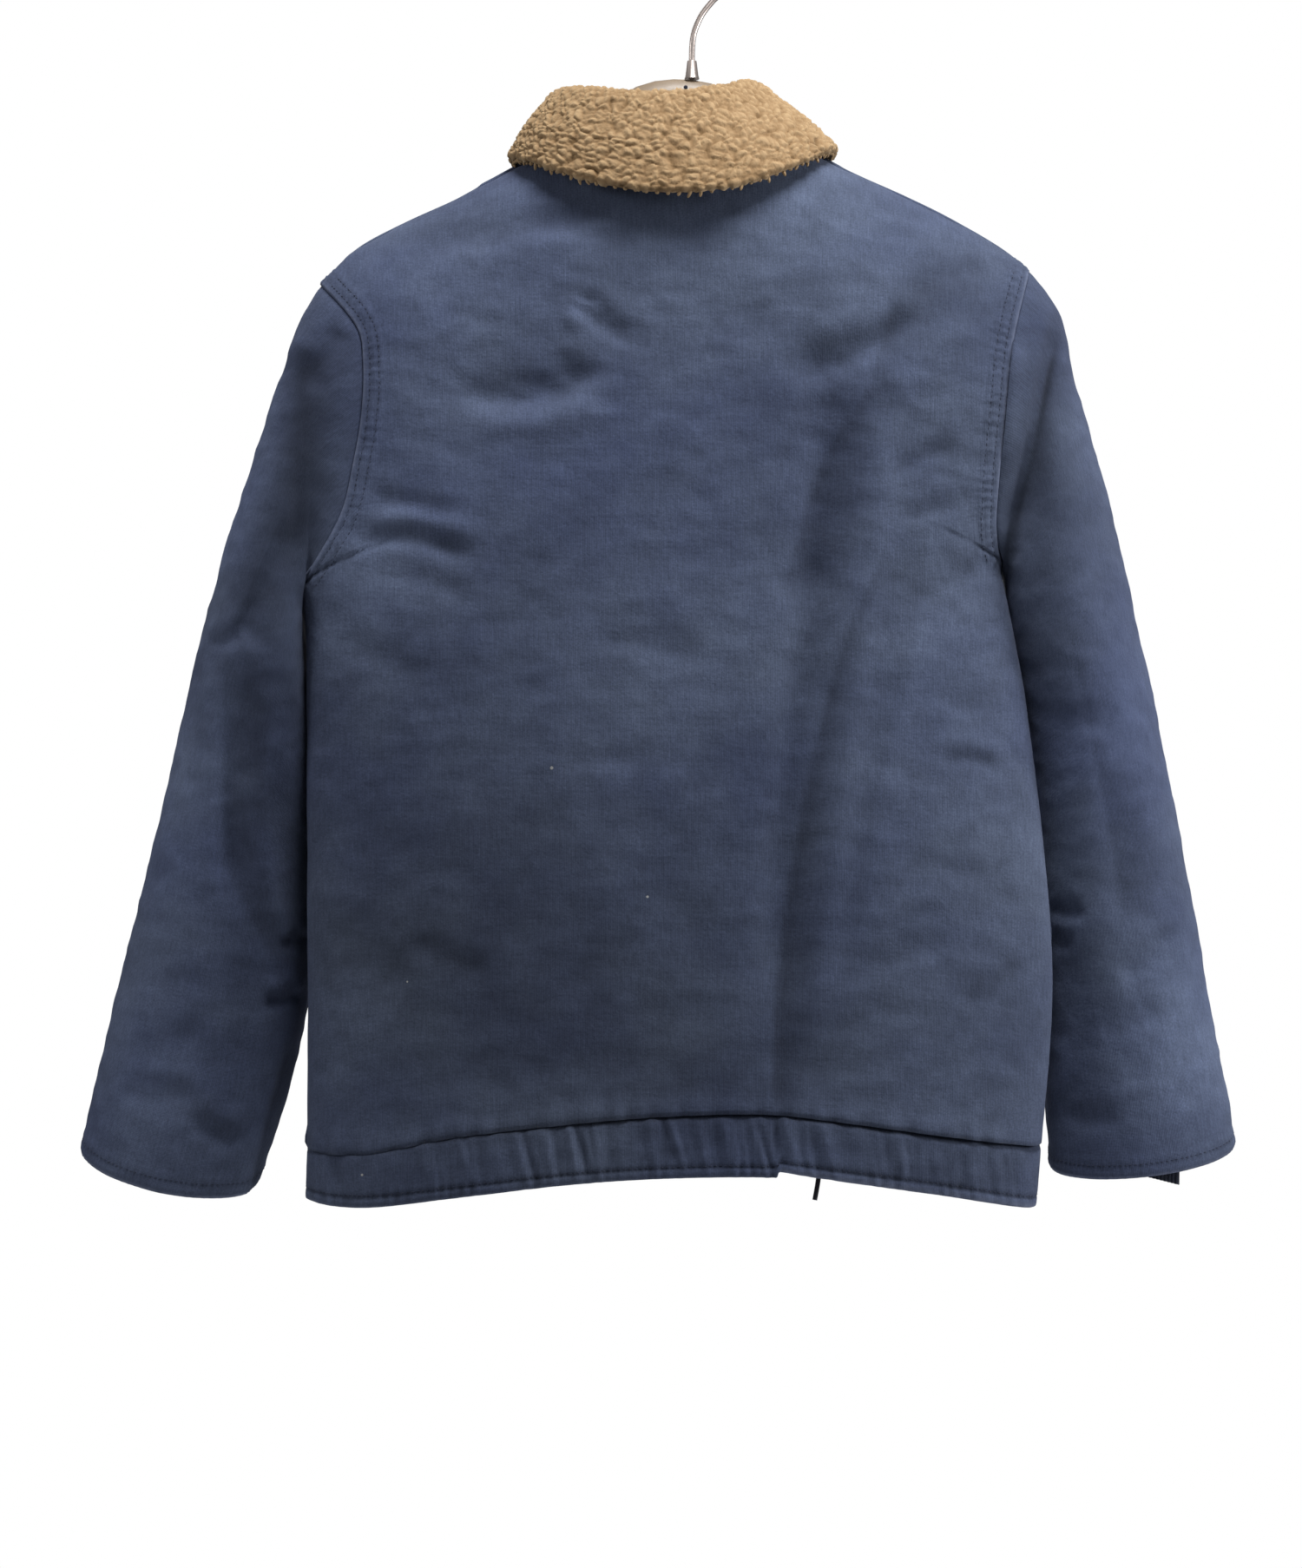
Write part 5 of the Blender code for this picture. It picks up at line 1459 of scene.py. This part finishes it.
def make_zip(side, tape, teeth):
    """One side of the zip: a woven tape, and the teeth clamped on its inner edge."""
    sign = SIDES[side]
    top = neck(np.array([math.pi]))[1][0] - 0.0006
    low = hem_z(np.array([CENTRE_X]), 2)[0] + 0.002
    inner, outer = CENTRE_X + sign * SEAM_GAP / 2, CENTRE_X + sign * (ZIP_HALF - SEAM_GAP / 2)

    def face_y(z):
        return body_y(np.full(len(z), CENTRE_X), z, -1)

    def form(u, v):
        x = blend(inner, outer, u) if sign > 0 else blend(outer, inner, u)
        z = blend(low, top, v)
        return points_of(x, face_y(z) + 0.0006, z)

    def finish(u, v, at):
        from_edge = np.abs(at[:, 0] - outer)
        return 0.0003 * hump(from_edge - 0.002, 0.0006), at[:, [0, 2]], {}

    woven = place(sheet("zip_tape_" + side, 10, 120, form, finish, 0.0012, tape), "zip_tape", "zip_" + side)
    shape = bmesh.new()
    count = int((top - low - 0.006) / TOOTH_PITCH)
    heights = low + 0.003 + TOOTH_PITCH * (np.arange(count) + (0.5 if sign > 0 else 0.0))
    for z, y in zip(heights, face_y(heights)):
        if abs(z - SLIDER_Z) < 0.0075:
            continue
        at = Matrix.Translation((CENTRE_X + sign * 0.0013, y + 0.0004, z))
        where = at @ Matrix.Rotation(math.radians(90), 4, "Y")
        bmesh.ops.create_cone(
            shape, cap_ends=True, segments=6, radius1=TOOTH_THIN if sign < 0 else TOOTH_THICK,
            radius2=TOOTH_THICK if sign < 0 else TOOTH_THIN, depth=TOOTH_LENGTH, matrix=where,
        )
    return woven, place(into_scene("zip_teeth_" + side, shape, teeth, corner=35), "zip_metal")


STRAP_LEFT, STRAP_WIDTH = -0.2855, 0.026


def make_strap(look):
    """The webbing end that hangs inside the right cuff, cut on a slant."""
    def form(u, v):
        z = blend(blend(-0.7925, -0.7990, u), -0.735, v)
        return points_of(STRAP_LEFT - STRAP_WIDTH * u, blend(-0.0142, -0.0057, smooth(v)), z)

    def finish(u, v, at):
        from_edge = np.minimum(u, 1 - u) * STRAP_WIDTH
        height = 0.00022 * np.sin(math.tau * u * 11) - 0.0004 * hump(from_edge - 0.0030, 0.0005)
        return height, at[:, [0, 2]], {}

    made = sheet("strap_webbing", 80, 60, form, finish, 0.0020, look, offset=0)
    place(made, "strap", "cuff_strap_right")


def refined(node, name, slot, look, body="jacket", corner=35):
    """A rigid part as its solid has it, welded and shaded as curved."""
    shape = bmesh.new()
    shape.from_mesh(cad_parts[node].data)
    bmesh.ops.remove_doubles(shape, verts=shape.verts, dist=2e-6)
    return place(into_scene(name, shape, look, corner=corner), slot, node, body=body)


MARK_AT, MARK_SIZE = (0.0040, 0.0069, -0.1032), (0.0013, 0.0006, 0.0013)


def make_mark(look):
    """A small dark dot on the hanger's back, beside the hook."""
    shape = bmesh.new()
    where = Matrix.Translation(MARK_AT) @ Matrix.Diagonal((*MARK_SIZE, 1))
    bmesh.ops.create_uvsphere(shape, u_segments=16, v_segments=10, radius=1.0, matrix=where)
    return place(into_scene("hanger_mark", shape, look), "hanger_plastic")


# Floor and light.


FLOOR_AT, FLOOR_RADIUS = (0, -0.1, -1.60), 1.1


def make_floor():
    """A pale disc well below the jacket."""
    look = Looks("pale_floor")
    tone = look.mixed(look.clouds(3.0), colour(250, 250, 250), colour(246, 246, 245))
    shape = bmesh.new()
    bmesh.ops.create_circle(shape, cap_ends=True, segments=96, radius=FLOOR_RADIUS)
    bmesh.ops.translate(shape, verts=shape.verts, vec=FLOOR_AT)
    into_scene("floor", shape, look.set(Base_Color=tone, Roughness=0.8))


def make_lights():
    """A white world that the camera sees at full strength, and four lamps."""
    world = bpy.data.worlds.new("studio")
    world.use_nodes = True
    tree = world.node_tree
    glow, bright = tree.nodes["Background"], tree.nodes.new("ShaderNodeBackground")
    for background, strength in ((glow, 0.15), (bright, 1.0)):
        background.inputs[0].default_value = (1, 1, 1, 1)
        background.inputs[1].default_value = strength
    seen = tree.nodes.new("ShaderNodeLightPath")
    mix = tree.nodes.new("ShaderNodeMixShader")
    tree.links.new(seen.outputs["Is Camera Ray"], mix.inputs[0])
    tree.links.new(glow.outputs[0], mix.inputs[1])
    tree.links.new(bright.outputs[0], mix.inputs[2])
    tree.links.new(mix.outputs[0], tree.nodes["World Output"].inputs[0])
    bpy.context.scene.world = world
    bpy.context.scene.view_settings.view_transform = "Standard"
    for name, where, to, size, power in (
        ("overhead", (-0.20, 0.55, 0.75), (0.0, 0.0, -0.40), 0.6, 22.0),
        ("left fill", (1.7, 0.6, 0.1), (0.1, 0.0, -0.5), 0.9, 9.0),
        ("right fill", (-1.7, 0.40, -0.25), (-0.1, 0.0, -0.5), 0.8, 20.0),
        ("front fill", (0.3, -2.0, 0.3), (0.0, 0.0, -0.45), 1.6, 14.0),
    ):
        lamp = bpy.data.lights.new(name, "AREA")
        lamp.shape = "DISK"
        lamp.size = size
        lamp.energy = power
        holder = linked(name, lamp)
        holder.location = where
        holder.rotation_euler = (Vector(to) - Vector(where)).to_track_quat("-Z", "Y").to_euler()


def main():
    looks = {
        "shell": cotton("navy_cotton", NAVY, NAVY_WORN, NAVY_THREAD),
        "pile": pile(),
        "cord": plain_cloth("dark_cord", colour(34, 34, 42), 0.0011),
        "strap": plain_cloth("dark_webbing", colour(30, 36, 52), 0.0012),
        "tape": plain_cloth("zip_tape_weave", colour(34, 42, 62), 0.0008),
        "thread": plain_cloth("dark_thread", colour(36, 43, 64), 0.0004),
        "plastic": moulded_plastic(),
        "wire": metal("plated_wire", colour(208, 196, 190), colour(192, 180, 174), 0.34, 0.42),
        "zip": metal("dulled_nickel", colour(176, 172, 162), colour(132, 126, 114), 0.28, 0.48),
    }
    make_camera()
    make_drawcord(looks["cord"])
    cloths, zips = {"back": make_back(looks["shell"])}, {}
    for side in SIDES:
        cloths["front_" + side] = make_front(side, looks["shell"])
        cloths["sleeve_" + side] = make_sleeve(side, looks["shell"])
        zips["front_" + side] = make_zip(side, looks["tape"], looks["zip"])
    for name, start, end, columns, face in BANDS:
        cloths[name] = make_band(name, start, end, columns, face, looks["shell"])
    for name, cut in CUTS.items():
        zips.get(name, ())
    sew(cloths, looks["thread"])
    make_collar(looks["pile"])
    make_tufts(looks["pile"])
    make_strap(looks["strap"])
    refined("zip_slider", "slider_body", "zip_metal", looks["zip"])
    refined("zip_pull_tab", "pull_tab_plate", "zip_metal", looks["zip"], body="pull_tab")
    refined("hanger", "hanger_moulding", "hanger_plastic", looks["plastic"], corner=50)
    refined("hanger_ferrule", "ferrule_sleeve", "steel_wire", looks["wire"])
    refined("hanger_hook", "hook_wire", "steel_wire", looks["wire"], corner=50)
    make_mark(looks["strap"])
    make_floor()
    make_lights()


main()
